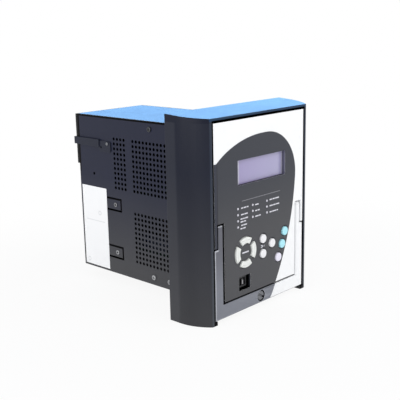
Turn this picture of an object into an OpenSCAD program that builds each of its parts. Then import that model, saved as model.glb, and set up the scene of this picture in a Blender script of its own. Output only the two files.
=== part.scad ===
// Draw-out protection relay for panel mounting.
// Origin: centre of the case on the panel face (rear of the flange).
// +X is right seen from the front, +Y points to the rear, +Z is up.

/* [Case] */
// Width of the case over its side sheets
case_w = 99; // [94:1:110]
// Height of the case over its top and bottom sheets
case_h = 177; // [172:1:186]
// Depth of the case behind the panel face
case_d = 180; // [176:1:200]
// Thickness of the case sheets
sheet = 1.2; // [0.8:0.1:1.6]
// Width of the folded edges of the case sheets
fold_w = 11; // [8:0.5:12]
// Running or assembly gap between sheets
sheet_gap = 0.1; // [0.05:0.05:0.3]

/* [Case vents] */
// Diameter of one vent hole
vent_d = 3.4; // [2:0.1:4]
// Distance between vent holes
vent_pitch = 5.4; // [4.6:0.1:5.6]
// Vent columns in a large block
vent_cols = 10; // [4:1:10]
// Vent columns in the small block
vent_small_cols = 4; // [2:1:4]
// Vent rows in every block
vent_rows = 11; // [4:1:11]
// First vent column behind the panel face
vent_y = 39.7; // [36:0.5:44]
// First column of the small block behind the panel face
vent_small_y = 102.4; // [98:0.5:104]
// Height of the top row of the upper blocks
vent_upper_z = 65; // [60:0.5:68]
// Height of the top row of the lower block
vent_lower_z = -14; // [-16:0.5:-10]

/* [Case fixings] */
// Head diameter of the case screws
screw_head_d = 5.6; // [4.5:0.1:6.5]
// Shank diameter of the case screws
screw_d = 3; // [2.5:0.1:3.5]
// Case screw behind the panel face
side_screw_y = 61.5; // [56:0.5:66]
// Case screw below the top edge and above the bottom edge
side_screw_inset = 8.5; // [7.5:0.5:9]
// Rail tab width across the slots
tab_h = 15.2; // [12:0.1:16]
// Rail tab length from its root
tab_l = 25; // [22:0.5:28]
// Free end of the rail tabs in front of the case rear
tab_back = 70; // [66:0.5:76]
// Width of the slots round a rail tab
tab_slot = 2.2; // [1:0.1:2.6]
// Lower guide rail above the case bottom
rail_lift = 25.1; // [22:0.1:28]
// Distance between the guide rails
rail_pitch = 54.9; // [50:0.1:58]
// Rivet head diameter
rivet_d = 5; // [4:0.1:6]
// White blank label, length along the case
label_l = 42.4; // [36:0.2:44]
// White blank label, height
label_h = 93.6; // [80:0.2:96]

/* [Bezel] */
// Width of the bezel at the panel
bezel_rear_w = 174; // [170:1:182]
// Inward sweep of each bezel side from panel to front
bezel_flare = 13; // [10:0.2:15]
// Height of the bezel front beyond the case, above and below
bezel_over = 12; // [10.5:0.5:16]
// Depth of the bezel in front of the panel
bezel_d = 46; // [44:0.5:50]
// Straight band of the bezel sides next to the panel
bezel_band = 13; // [10:0.1:15]
// Front edge of the bezel top above the even overhang
bezel_brow = 0.8; // [0:0.1:1.6]
// Rise of the bezel top from front to panel
bezel_rise = 3.2; // [2:0.1:6]
// Side wall of the bezel
bezel_wall = 2; // [1.6:0.1:2.4]
// Top and bottom wall of the bezel
bezel_top_wall = 2.4; // [2:0.1:3]
// Flange plate of the bezel
flange_t = 4; // [3:0.5:5]
// Depth of the bezel floor in front of the panel
floor_d = 22; // [16:1:24]
// Width of the finger bay in the bezel floor
bay_w = 134; // [124:1:136]
// Mounting hole diameter
panel_hole_d = 4.4; // [4:0.1:5.5]
// Mounting holes, distance across
panel_pitch_x = 136; // [126:1:144]
// Outer mounting holes, distance up
panel_pitch_z = 180; // [170:1:184]
// Inner mounting holes, distance up
panel_inner_z = 60; // [40:1:80]

/* [Front plate] */
// Gap between front plate and bezel side
plate_gap = 1.8; // [0.8:0.1:2.2]
// Gap between front plate and bezel top
plate_top_gap = 2.4; // [1:0.1:3]
// Thickness of the front plate
face_t = 4; // [3:0.1:5]
// Thickness of the face films
film_t = 0.3; // [0.2:0.05:0.5]
// Depth of the skirt behind the front plate
skirt_d = 30; // [28:0.5:32]
// Wall of the skirt
skirt_wall = 2; // [1.5:0.1:2.5]
// Thickness of the chassis sheets
tray_t = 1.5; // [1.2:0.1:2]

/* [Display and lamps] */
// Width of the display opening
lcd_w = 74.6; // [60:0.2:80]
// Height of the display opening
lcd_h = 24.8; // [18:0.2:28]
// Display centre to the right of the middle
lcd_x = 1.4; // [-4:0.2:4]
// Display centre above the middle
lcd_z = 45; // [42:0.5:50]
// Thickness of the display glass
lcd_glass_t = 1.6; // [1:0.1:2]
// Diameter of a lamp lens
led_d = 2.5; // [1.6:0.1:3]
// Distance between lamp columns
led_pitch_x = 22.4; // [18:0.2:24]
// Distance between lamp rows
led_pitch_z = 6.1; // [5:0.1:6.5]
// Left lamp column
led_x = -36; // [-40:0.5:-32]
// Top lamp row
led_z = 10; // [6:0.5:12]

/* [Keys] */
// Diameter of a round key
key_d = 9.2; // [8:0.2:11]
// Outer radius of the ring of arrow keys
nav_r = 15.6; // [15:0.1:17]
// Inner radius of the ring of arrow keys
nav_inner_r = 9.2; // [7:0.1:10]
// Angle that one arrow key covers
nav_span = 68; // [60:1:76]
// Ring centre left of the middle
nav_x = -25.2; // [-27:0.2:-24]
// Ring centre below the middle
nav_z = -36; // [-38:0.2:-34]
// Key height in front of the face
key_proud = 1.6; // [1:0.1:2.5]
// Travel of a key
key_travel = 1.2; // [0.6:0.1:1.5]
// Gap round a key
key_gap = 0.8; // [0.25:0.05:0.9]

/* [Service port] */
// Width of the port recess
port_w = 18; // [16:0.2:20]
// Height of the port recess
port_h = 14.8; // [14:0.2:16]
// Port centre left of the middle
port_x = -26.2; // [-28:0.2:-24]
// Middle line of display, lamps and keys above the lower edge of the front plate
face_lift = 79.8; // [79:0.1:81]
// Port centre above the lower edge of the front plate
port_lift = 12.7; // [12:0.1:15]

/* [Handle] */
// Height of the handle bar
bar_h = 14.1; // [13:0.1:16]
// Thickness of the handle bar
bar_t = 6; // [5:0.5:7]
// Bottom of the handle above the lower bezel edge
bar_lift = 4.7; // [4.2:0.1:7]
// Gap between the handle and the ledges beside the finger bay
ledge_gap = 0.5; // [0.3:0.1:1]
// Width of the lower handle arm
arm_w = 11.5; // [10.5:0.1:12.5]
// Width of the upper handle arm
arm_top_w = 6.6; // [6:0.1:7]
// Thickness of the handle arms
arm_t = 8; // [7:0.5:9]
// Top end of the handle arms
arm_top_z = -1.2; // [-4:0.2:2]
// Rounding of the front corner of the arm ends
arm_edge_r = 1.8; // [1.5:0.1:3]
// Step between the wide and the narrow arm
arm_step_z = -24.7; // [-30:0.1:-20]
// Gap round the handle
handle_gap = 1.9; // [1:0.1:2.2]
// Gap above the steps and ends of the handle arms
arm_end_gap = 1.6; // [1.2:0.1:2]
// Diameter of the handle pivot pins
pin_d = 3; // [2:0.1:4]
// Running clearance of the pivot pins on radius
pin_play = 0.05; // [0.02:0.01:0.1]
// Diameter of the recess for the fastener head
latch_recess_d = 11.4; // [10.5:0.1:12]
// Diameter of the fastener head
latch_head_d = 9.6; // [8:0.1:10]
// Diameter of the fastener shank
latch_d = 5.8; // [5:0.1:6.2]
// Radial room of the fastener in its bush
latch_room = 1.1; // [0.8:0.1:1.4]

/* [Rear terminals] */
// Case side to the body of the upper terminal block
block_margin = 9.5; // [8:0.5:14]
// Height of the upper terminal block cap
block_h = 56.5; // [52:0.5:58]
// Cap thickness behind the side sheets
block_cap_t = 3.5; // [2:0.1:4]
// Terminals in a row
term_count = 8; // [4:1:8]
// Diameter of a terminal screw
term_screw_d = 6; // [4:0.1:6.5]
// Height of a lower terminal block
strip_h = 34; // [30:0.5:36]
// Depth of a lower terminal block behind the rear panel
strip_d = 9; // [6:0.5:9]

/* [Hidden] */
$fn = 48;
cut = 1;

key_places = [[2, -28.1], [16.6, -35.8], [2, -43.8], [37.8, -27.6], [33.4, -40.5], [27, -53.5]];
lamp_rows = [4, 3, 3];

// case
side_x = case_w / 2;
inner_x = side_x - sheet;
half_h = case_h / 2;
inner_z = half_h - sheet;
screw_z = half_h - side_screw_inset;
front_screw_y = 37.3;
hole_play = 0.1;
rear_panel_y = case_d - 3;
rail_t = 6;
rail_h = 12;
rail_groove = 4;
rail_play = 0.35;
rail_y0 = 8;
rail_y1 = 150;
rail_lower_z = -half_h + rail_lift;
rail_upper_z = rail_lower_z + rail_pitch;
rail_zs = [rail_upper_z, rail_lower_z];
rivet_head = 0.8;
tab_y = case_d - tab_back;
rivet_inset = 10;
rivet_y = tab_y + rivet_inset;
label_t = 0.2;
label_rear = 2.6;
label_bottom = 2.4;
strap_t = 1.2;
strap_h = 8.2;
strap_drop = 30.1;
strap_z = half_h - strap_drop;
strap_hook = block_margin - 0.5;
strap_lift = 1.2;
strap_back = 37;
strap_y = case_d - strap_back;
strap_pad_l = 19.4;
strap_pad_h = 12;
strap_pad_r = 3;
strap_pad_z = strap_z - 3;
strap_pin = [strap_y - strap_pad_l + 4.7, strap_z + 0.4];
strap_pin_d = 2;
strap_hole = [strap_y - 3.6, strap_z - 4.3];
strap_hole_d = 2.2;
pilot_back = 25;
pilot_y = case_d - pilot_back;
pilot_z = 22.7;
pilot_d = 3.2;

// rear terminals
block_w = case_w - 2 * block_margin;
term_edge = 2;
term_pitch = (block_w - 2 * term_edge) / term_count;
block_drop = 0.4;
block_z0 = half_h - block_drop - block_h;
block_mid = block_z0 + block_h / 2;
block_y = case_d + sheet_gap;
block_back = block_y + block_cap_t;
block_ribs = 7;
block_row = 11;
block_inside = 12;
block_body_h = block_h - 8;
cell_d = 4;
term_head = 2.6;
strip_low = 40.5;
strip_pitch = 44;
strip_zs = [-half_h + strip_low + strip_pitch, -half_h + strip_low];
strip_w = block_w + 2;
plate_sheet = 1.2;
panel_back = rear_panel_y + plate_sheet;
stud_l = 11;
stud_inset = 18.3;
stud_lift = 12;
stud_x = inner_x - stud_inset;
stud_z = -half_h + stud_lift;
stud_d = 6;

// bezel
bezel_h = case_h + 2 * bezel_over;
half_bh = bezel_h / 2;
arc_run = bezel_d - bezel_band;
arc_drop = bezel_flare;
side_r = (arc_run * arc_run + arc_drop * arc_drop) / (2 * arc_drop);
arc_x = bezel_rear_w / 2 - side_r;
inner_front_x = arc_x + sqrt(pow(side_r - bezel_wall, 2) - arc_run * arc_run);
flange_gap = 0.3;
lip_screw_x = 30;
lip_h = 9;
lip_t = sheet;

// front plate and handle, y values
film_y = -bezel_d;
face_y = film_y + film_t;
face_back = face_y + face_t;
skirt_back = face_back + skirt_d;
plate_x = inner_front_x - plate_gap;
plate_top = half_bh + bezel_brow - bezel_top_wall - plate_top_gap;
bar_z = -half_bh + bar_lift;
arm_in = plate_x - arm_w;
plate_in = arm_in - handle_gap;
plate_bottom = bar_z + bar_h + handle_gap;
port_z = plate_bottom + port_lift;
face_mid = plate_bottom + face_lift;
key_spots = [for (p = key_places) [p[0], face_mid + p[1]]];
nav_mid_z = face_mid + nav_z;
lcd_mid_z = face_mid + lcd_z;
strip_in = arm_in + arm_top_w + handle_gap;
skirt_x = plate_in - 0.2;
skirt_top = plate_top - 4;
pivot_y = face_y + arm_t / 2;
pivot_z = arm_top_z - arm_t / 2;
lug_h = 9;
bar_back = face_y + bar_t;
latch_z = bar_z + bar_h / 2;
latch_head_t = 2.6;
latch_sink = 0.6;
latch_play = 0.3;
head_y = face_y + latch_sink;
recess_y = head_y + latch_head_t + latch_play;
bush_y = bar_back + 1.7;
bush_l = 5;
bush_wall = 2;
latch_tip = bush_y + bush_l - 0.5;
bracket_t = 1.5;
bracket_w = 16;
bracket_y = bush_y + 1.2;

// dark field of the face: three tangent curves
field_apex = [4, 80];
field_left = [95, 66];
field_right_r = 47;
field_low_r = 260;
field_turn = 4;
field_low_turn = 50;
field_edge_z = 58.4;
field_right_x = field_apex[0] + 5 + field_right_r;
field_mid_z = field_apex[1] - field_right_r;

// boards and inside
board_t = 1.6;
board_gap = 11.7;
board_y = face_back + board_gap;
board_screw_l = 6;
board_screw_head = 2;
board_hw = skirt_x - skirt_wall - 1.4;
boss_d = 7;
boss_x = board_hw - 5;
boss_zs = [skirt_top - 10, face_mid + 24, plate_bottom + 9];
key_flange = 1.5;
nav_mid_r = (nav_r + nav_inner_r) / 2;
key_flange_t = 1.2;
key_back = face_back + 0.3;
key_stem_d = 4;
key_mat_gap = 0.3;
mat_t = 3;
mat_y = board_y - mat_t;
mat_box = [[-48, face_mid - 58], [48, face_mid - 16]];
lcd_frame = 6;
lcd_post = 3;
lcd_glass_rim = 2.5;
port_shell = [12, 11];
port_floor = 3;
port_inside = [8.5, 7.8];
port_shell_y = face_back - 0.5;
port_tongue = [2.8, 6];
tray_hw = inner_x - rail_t + rail_groove - 0.4;
tray_y0 = skirt_back + plate_sheet;
tray_y1 = rail_y1 + 2;
tray_lip = 10;
standoff_h = 5;
standoff_d = 5;
deck_hw = inner_x - rail_t - 2;
board_inset = 14;
board_y0 = tray_y0 + board_inset;
board_l = 128;
ct_size = [26, 30, 34];
ct_pitch = 34;
relay_size = [12, 28, 15];
plug_size = [60, 12, 10];
socket_gap = 0.6;
part_edge = 8;
chip = [28, 28, 3];
edge_part = [12, 60, 9];
capacitor = [14, 30, 22];
board_parts = [[[-chip[0] / 2, board_l / 4], chip], [[-deck_hw + part_edge, board_l / 6], edge_part],
               [[deck_hw - part_edge - capacitor[0], board_l / 2], capacitor]];
board_z = rail_upper_z + tray_t / 2 + standoff_h;
io_z = rail_lower_z + tray_t / 2 + standoff_h;

// Extrudes an XZ outline from y0 to y1
module face_extrude(y0, y1) {
    translate([0, y1, 0]) rotate([90, 0, 0]) linear_extrude(y1 - y0) children();
}

// Extrudes a YZ outline from x0 to x1
module side_extrude(x0, x1) {
    translate([x0, 0, 0]) rotate([90, 0, 90]) linear_extrude(x1 - x0) children();
}

module box(x, y, z) {
    translate([x[0], y[0], z[0]]) cube([x[1] - x[0], y[1] - y[0], z[1] - z[0]]);
}

// Round bar along Y
module rod_y(d, y0, y1) {
    translate([0, y0, 0]) rotate([-90, 0, 0]) cylinder(d = d, h = y1 - y0);
}

// Round bar along X
module rod_x(d, x0, x1) {
    translate([x0, 0, 0]) rotate([0, 90, 0]) cylinder(d = d, h = x1 - x0);
}

// Plan of the bezel with its walls moved in
module bezel_plan(inset) {
    half = bezel_rear_w / 2 - inset;
    intersection() {
        translate([-half, -bezel_d - cut]) square([2 * half, bezel_d + cut]);
        union() {
            for (s = [-1, 1]) translate([s * arc_x, -bezel_band]) circle(side_r - inset, $fn = 96);
            translate([-arc_x, -bezel_d - cut]) square([2 * arc_x, bezel_d + cut]);
            translate([-half, -bezel_band]) square([2 * half, bezel_band]);
        }
    }
}

// Height of the sloping bezel top at y, moved down
function top_z(y, drop) = half_bh + bezel_brow - drop + bezel_rise / bezel_d * (y + bezel_d);

// Body of the bezel plan under a side outline
module bezel_mass(inset) {
    intersection() {
        translate([0, 0, -bezel_h]) linear_extrude(2 * bezel_h) bezel_plan(inset);
        side_extrude(-bezel_rear_w, bezel_rear_w) children();
    }
}

module bezel() {
    mouth_y = -bezel_d - cut;
    floor_z = -half_bh + bezel_top_wall;
    ledge_z = bar_z - ledge_gap;
    ledge_short = 1;
    ledge_back = -floor_d - ledge_short;
    color("#34363c") difference() {
        bezel_mass(0) polygon([[-bezel_d, -half_bh], [0, -half_bh], [0, top_z(0, 0)],
                               [-bezel_d, top_z(-bezel_d, 0)]]);
        bezel_mass(bezel_wall) polygon([[mouth_y, ledge_z], [ledge_back, ledge_z], [ledge_back, floor_z],
                                        [-flange_t, floor_z],
                                        [-flange_t, top_z(-flange_t, bezel_top_wall)],
                                        [mouth_y, top_z(mouth_y, bezel_top_wall)]]);
        box([-bay_w / 2, bay_w / 2], [mouth_y, -floor_d], [-half_bh - cut, ledge_z + cut]);
        box([-side_x - flange_gap, side_x + flange_gap], [-flange_t - cut, cut],
            [-half_h - flange_gap, half_h + flange_gap]);
        for (x = [-1, 1], z = [-panel_pitch_z, -panel_inner_z, panel_inner_z, panel_pitch_z])
            translate([x * panel_pitch_x / 2, 0, z / 2]) rod_y(panel_hole_d, -flange_t - cut, cut);
        for (x = [-1, 1], s = [-1, 1])
            translate([x * lip_screw_x, 0, s * (half_h + lip_h / 2)])
                rod_y(screw_d + 2 * hole_play, -flange_t - cut, cut);
        for (x = [-1, 1]) translate([x * bracket_w / 4, -floor_d + 6, -half_bh - cut])
            cylinder(d = screw_d, h = bezel_top_wall + 2 * cut);
    }
}

// Field of vent holes, first hole at front and top
module vent_field(cols, y, z) {
    for (c = [0 : cols - 1], r = [0 : vent_rows - 1])
        translate([y + c * vent_pitch, z - r * vent_pitch]) circle(d = vent_d, $fn = 16);
}

// Slots that free a tab on three sides
module tab_slots(z) {
    for (s = [-1, 1])
        translate([tab_y, z + s * (tab_h - tab_slot) / 2 - tab_slot / 2]) square([tab_l, tab_slot]);
    translate([tab_y, z - tab_h / 2]) square([tab_slot, tab_h]);
}

module side_outline() {
    difference() {
        translate([-flange_t, -half_h]) square([case_d + flange_t, case_h]);
        vent_field(vent_cols, vent_y, vent_upper_z);
        vent_field(vent_cols, vent_y, vent_lower_z);
        vent_field(vent_small_cols, vent_small_y, vent_upper_z);
        for (z = rail_zs) {
            tab_slots(z);
            translate([rivet_y, z]) circle(d = screw_d + 2 * hole_play);
        }
        for (s = [-1, 1]) translate([side_screw_y, s * screw_z]) circle(d = screw_d + 2 * hole_play);
        translate([front_screw_y, -screw_z]) circle(d = screw_d + 2 * hole_play);
        translate(strap_pin) circle(d = strap_pin_d + 2 * hole_play);
        translate(strap_hole) circle(d = strap_hole_d);
    }
}

module case_side_left() {
    color("#3a3d45") side_extrude(-side_x, -inner_x) difference() {
        side_outline();
        translate([pilot_y, pilot_z]) circle(d = pilot_d);
    }
}

module case_side_right() {
    color("#3a3d45") side_extrude(inner_x, side_x) side_outline();
}

// Top sheet with folded side edges, side screw holes and an upturned front lip
module top_sheet(screw_ys) {
    w = inner_x - sheet_gap;
    lip_y = -flange_t - lip_t;
    difference() {
        union() {
            box([-w, w], [lip_y, case_d - sheet_gap], [inner_z, half_h]);
            box([-w, w], [lip_y, -flange_t], [inner_z, half_h + lip_h]);
            for (s = [-1, 1])
                box([s > 0 ? w - sheet : -w, s > 0 ? w : -w + sheet], [fold_w, rear_panel_y - fold_w],
                    [half_h - fold_w - sheet, inner_z]);
        }
        for (x = [-1, 1]) translate([x * lip_screw_x, 0, half_h + lip_h / 2])
            rod_y(screw_d + 2 * hole_play, lip_y - cut, -flange_t + cut);
        for (y = screw_ys) translate([0, y, screw_z]) rod_x(screw_d + 2 * hole_play, -case_w, case_w);
    }
}

module case_top() {
    color("#3a3d45") top_sheet([side_screw_y]);
}

module case_bottom() {
    color("#3a3d45") mirror([0, 0, 1]) top_sheet([front_screw_y, side_screw_y]);
}

// Barrier terminal block standing on y0, with one or two rows of cells
module barrier_block(w, h, z, y0, depth, rows) {
    cell = term_pitch - 1.6;
    cell_h = h / len(rows) - 4;
    difference() {
        box([-w / 2, w / 2], [y0, y0 + depth], [z - h / 2, z + h / 2]);
        for (row = rows, i = [0 : term_count - 1])
            translate([(i - (term_count - 1) / 2) * term_pitch, 0, z + row])
                box([-cell / 2, cell / 2], [y0 + depth - cell_d, y0 + depth + cut],
                    [-cell_h / 2, cell_h / 2]);
    }
}

module upper_terminal_block() {
    color("#26272b") {
        box([-side_x, side_x], [block_y, block_back], [block_z0, block_z0 + block_h]);
        box([-block_w / 2, block_w / 2], [rear_panel_y - block_inside, block_y],
            [block_mid - block_body_h / 2, block_mid + block_body_h / 2]);
        barrier_block(block_w, block_body_h, block_mid, block_back, block_ribs, [-block_row, block_row]);
    }
}

module lower_terminal_blocks() {
    color("#26272b") for (z = strip_zs) barrier_block(strip_w, strip_h, z, panel_back, strip_d, [0]);
}

// Slotted pan head with its axis along Y, seat at y
module slotted_head(d, y, h) {
    difference() {
        rod_y(d, y, y + h);
        box([-d, d], [y + h / 2, y + h + cut], [-d / 10, d / 10]);
    }
}

module terminal_screws() {
    color("#c9ccd2") for (i = [0 : term_count - 1]) {
        x = (i - (term_count - 1) / 2) * term_pitch;
        for (row = [-block_row, block_row])
            translate([x, 0, block_mid + row])
                slotted_head(term_screw_d, block_back + block_ribs - cell_d, term_head);
        for (z = strip_zs)
            translate([x, 0, z]) slotted_head(term_screw_d, panel_back + strip_d - cell_d, term_head);
    }
}

module rear_panel() {
    w = inner_x - sheet_gap;
    h = inner_z - sheet_gap;
    color("#55585f") difference() {
        box([-w, w], [rear_panel_y, panel_back], [-h, h]);
        box([-block_w / 2 - sheet_gap, block_w / 2 + sheet_gap], [rear_panel_y - cut, panel_back + cut],
            [block_mid - block_body_h / 2 - sheet_gap, block_mid + block_body_h / 2 + sheet_gap]);
        translate([stud_x, 0, stud_z]) rod_y(stud_d + 2 * hole_play, rear_panel_y - cut, panel_back + cut);
    }
}

module earth_stud() {
    color("#b9a15a") translate([stud_x, 0, stud_z]) {
        rod_y(stud_d, rear_panel_y, panel_back + stud_l);
        rod_y(stud_d * 2, rear_panel_y - 2, rear_panel_y);
        translate([0, panel_back, 0]) rotate([-90, 0, 0]) cylinder(d = stud_d * 1.9, h = 4, $fn = 6);
    }
}

// Pad of the strap with two round corners at its front
module strap_pad() {
    z0 = strap_pad_z - strap_pad_h / 2;
    y0 = strap_y - strap_pad_l;
    translate([y0 + strap_pad_r, z0]) square([strap_pad_l - strap_pad_r, strap_pad_h]);
    translate([y0, z0 + strap_pad_r]) square([strap_pad_l, strap_pad_h - 2 * strap_pad_r]);
    for (z = [strap_pad_r, strap_pad_h - strap_pad_r])
        translate([y0 + strap_pad_r, z0 + z]) circle(strap_pad_r);
}

// Strap that hooks over the upper terminal block and is riveted to the case side
module strap() {
    bar_x = side_x + strap_lift;
    bar_zs = [strap_z - strap_h / 2, strap_z + strap_h / 2];
    box([bar_x, bar_x + strap_t], [strap_y - strap_t, block_back + strap_t], bar_zs);
    box([side_x - strap_hook, bar_x + strap_t], [block_back, block_back + strap_t], bar_zs);
    box([side_x, bar_x + strap_t], [strap_y - strap_t, strap_y], bar_zs);
    side_extrude(side_x, side_x + strap_t) difference() {
        strap_pad();
        translate(strap_pin) circle(d = strap_pin_d + 2 * hole_play);
        translate(strap_hole) circle(d = strap_hole_d);
    }
}

module strap_left() {
    color("#6a6e76") mirror([1, 0, 0]) strap();
}

module strap_right() {
    color("#6a6e76") strap();
}

// Pan-head screw along X, seat at x, pointing to the middle
module side_screw(seat, depth) {
    rod_x(screw_d, seat - depth, seat);
    rod_x(screw_head_d, seat, seat + 1.4);
}

module strap_screws() {
    color("#b9bcc2") for (s = [0, 1]) mirror([s, 0, 0])
        translate([0, strap_pin[0], strap_pin[1]]) {
            rod_x(strap_pin_d, inner_x - 1, side_x + strap_t);
            rod_x(strap_pin_d * 1.8, side_x + strap_t, side_x + strap_t + 1);
        }
}

module side_label() {
    y1 = case_d - label_rear;
    z0 = -half_h + label_bottom;
    color("white") box([-side_x - label_t, -side_x], [y1 - label_l, y1], [z0, z0 + label_h]);
}

module case_screws() {
    places = [[side_screw_y, screw_z], [side_screw_y, -screw_z], [front_screw_y, -screw_z]];
    color("#8c9098") for (s = [0, 1], p = places) mirror([s, 0, 0])
        translate([0, p[0], p[1]]) side_screw(side_x, 2 * sheet + sheet_gap + 1);
}

module rail_rivets() {
    color("#8c9098") for (s = [0, 1], z = rail_zs) mirror([s, 0, 0])
        translate([0, rivet_y, z]) {
            rod_x(screw_d, inner_x - 1.5, side_x);
            rod_x(rivet_d, side_x, side_x + rivet_head);
        }
}

module guide_rails() {
    slot = tray_t / 2 + rail_play;
    color("#2b2c30") for (s = [0, 1], z = rail_zs) mirror([s, 0, 0]) difference() {
        box([inner_x - rail_t, inner_x], [rail_y0, rail_y1], [z - rail_h / 2, z + rail_h / 2]);
        box([inner_x - rail_t - cut, inner_x - rail_t + rail_groove], [rail_y0 - cut, rail_y1 + cut],
            [z - slot, z + slot]);
        translate([0, rivet_y, z]) rod_x(screw_d + 2 * hole_play, inner_x - 1.7, inner_x + cut);
    }
}

module lip_screws() {
    color("#8c9098") for (x = [-1, 1], s = [-1, 1])
        translate([x * lip_screw_x, 0, s * (half_h + lip_h / 2)]) {
            rod_y(screw_d, -flange_t - lip_t, -0.4);
            rod_y(screw_head_d, -flange_t - lip_t - 1.8, -flange_t - lip_t);
        }
}

module latch_bracket() {
    foot_z = -half_bh + bezel_top_wall;
    color("#8c9098") difference() {
        union() {
            box([-bracket_w / 2, bracket_w / 2], [bracket_y, -flange_t - 2], [foot_z, foot_z + bracket_t]);
            box([-bracket_w / 2, bracket_w / 2], [bracket_y, bracket_y + bracket_t],
                [foot_z, latch_z + latch_recess_d / 2 - 0.6]);
        }
        translate([0, 0, latch_z]) rod_y(latch_d + 2 * (latch_room + bush_wall / 2 + hole_play / 2),
            bracket_y - cut, bracket_y + bracket_t + cut);
        for (x = [-1, 1]) translate([x * bracket_w / 4, -floor_d + 6, foot_z - cut])
            cylinder(d = screw_d, h = bracket_t + 2 * cut);
    }
}

module latch_bush() {
    bore = latch_d + 2 * latch_room;
    color("#c9b26a") translate([0, 0, latch_z]) difference() {
        union() {
            rod_y(bore + bush_wall, bush_y, bush_y + bush_l);
            rod_y(bore + 2 * bush_wall, bracket_y + bracket_t, bush_y + bush_l);
        }
        rod_y(bore, bush_y - cut, bush_y + bush_l + cut);
    }
}

module rear_sockets() {
    color("#2c2d31") for (z = rail_zs)
        box([-plug_size[0] / 2, plug_size[0] / 2], [tray_y1 + socket_gap, rear_panel_y],
            [z + standoff_h, z + standoff_h + plug_size[2]]);
}

// Dark field of the face: ellipse on the left shoulder, circles on the right
module dark_field() {
    steps = 24;
    left = [for (i = [0 : steps]) let (a = 180 - 42 - (90 - 42) * i / steps)
        [field_apex[0] + field_left[0] * cos(a), field_apex[1] - field_left[1] + field_left[1] * sin(a)]];
    right = [for (i = [0 : steps]) let (a = 90 - (90 + field_turn) * i / steps)
        [field_right_x - field_right_r + field_right_r * cos(a), field_mid_z + field_right_r * sin(a)]];
    low_mid = right[steps] - field_low_r * [cos(field_turn), -sin(field_turn)];
    low = [for (i = [1 : steps]) let (a = field_turn + (field_low_turn - field_turn) * i / steps)
        low_mid + field_low_r * [cos(a), -sin(a)]];
    polygon(concat([[-bezel_rear_w, field_edge_z], [left[0][0], field_edge_z]], left, right, low,
                   [[-bezel_rear_w, low[steps - 1][1]]]));
}

// Outline of the front plate with the slots for the handle arms
module plate_outline() {
    slot_w = strip_in - plate_in;
    difference() {
        translate([-plate_x, plate_bottom]) square([2 * plate_x, plate_top - plate_bottom]);
        for (s = [0, 1]) mirror([s, 0]) {
            translate([plate_in, plate_bottom - cut])
                square([plate_x - plate_in + cut, arm_step_z + arm_end_gap - plate_bottom + cut]);
            translate([plate_in, plate_bottom - cut])
                square([slot_w, arm_top_z + arm_end_gap - plate_bottom + cut]);
        }
    }
}

module arrow_outline(i, grow) {
    reach = 2 * nav_r;
    half = nav_span / 2 + atan(grow / nav_mid_r);
    translate([nav_x, nav_mid_z]) rotate(90 * i) intersection() {
        difference() {
            circle(nav_r + grow, $fn = 72);
            circle(nav_inner_r - grow, $fn = 72);
        }
        polygon([[0, 0], [reach, -reach * tan(half)], [reach, reach * tan(half)]]);
    }
}

module key_outlines(grow) {
    for (i = [0 : 3]) arrow_outline(i, grow);
    for (p = key_spots) translate(p) circle(d = key_d + 2 * grow);
}

module lamp_places() {
    for (c = [0 : len(lamp_rows) - 1], r = [0 : lamp_rows[c] - 1])
        translate([led_x + c * led_pitch_x, face_mid + led_z - r * led_pitch_z]) children();
}

module lcd_opening(grow) {
    translate([lcd_x - lcd_w / 2 - grow, lcd_mid_z - lcd_h / 2 - grow])
        square([lcd_w + 2 * grow, lcd_h + 2 * grow]);
}

module port_opening(size) {
    translate([port_x - size[0] / 2, port_z - size[1] / 2]) square(size);
}

// Everything that looks out through plate and film
module face_openings() {
    lcd_opening(0);
    port_opening([port_w, port_h]);
    key_outlines(key_gap);
    lamp_places() circle(d = led_d + 2 * hole_play, $fn = 24);
}

module front_plate() {
    color("#f4f6f8") difference() {
        union() {
            face_extrude(face_y, face_back) difference() {
                plate_outline();
                face_openings();
            }
            face_extrude(face_back, skirt_back) difference() {
                translate([-skirt_x, plate_bottom]) square([2 * skirt_x, skirt_top - plate_bottom]);
                translate([-skirt_x + skirt_wall, plate_bottom + skirt_wall])
                    square([2 * (skirt_x - skirt_wall), skirt_top - plate_bottom - 2 * skirt_wall]);
            }
            for (x = [-1, 1], z = boss_zs) translate([x * boss_x, 0, z]) rod_y(boss_d, face_back, board_y);
            for (s = [0, 1]) mirror([s, 0, 0])
                box([strip_in, plate_x], [face_back, pivot_y + lug_h / 2],
                    [pivot_z - lug_h / 2, pivot_z + lug_h / 2]);
        }
        translate([0, pivot_y, pivot_z]) for (s = [0, 1]) mirror([s, 0, 0])
            rod_x(pin_d, skirt_x - skirt_wall - cut, plate_x - 0.8);
        for (x = [-1, 1], z = boss_zs) translate([x * boss_x, 0, z])
            rod_y(screw_d, board_y - board_screw_l - 1, board_y + cut);
    }
}

module face_film() {
    color("#4d4f56") face_extrude(film_y, face_y) difference() {
        intersection() {
            plate_outline();
            dark_field();
        }
        face_openings();
    }
}

module lcd_window() {
    color("#b9b3d6") face_extrude(face_back, face_back + lcd_glass_t) lcd_opening(lcd_glass_rim);
}

module lcd_module() {
    color("#6d7078") {
        face_extrude(face_back + lcd_glass_t, board_y - lcd_post) lcd_opening(lcd_frame);
        for (x = [-1, 1], z = [-1, 1])
            translate([lcd_x + x * (lcd_w / 2 + 2), 0, lcd_mid_z + z * (lcd_h / 2 + 2)])
                rod_y(standoff_d, board_y - lcd_post, board_y);
    }
}

module lamp_lenses() {
    color("#c8c4d8") face_extrude(film_y, board_y) lamp_places() circle(d = led_d, $fn = 24);
}

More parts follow.
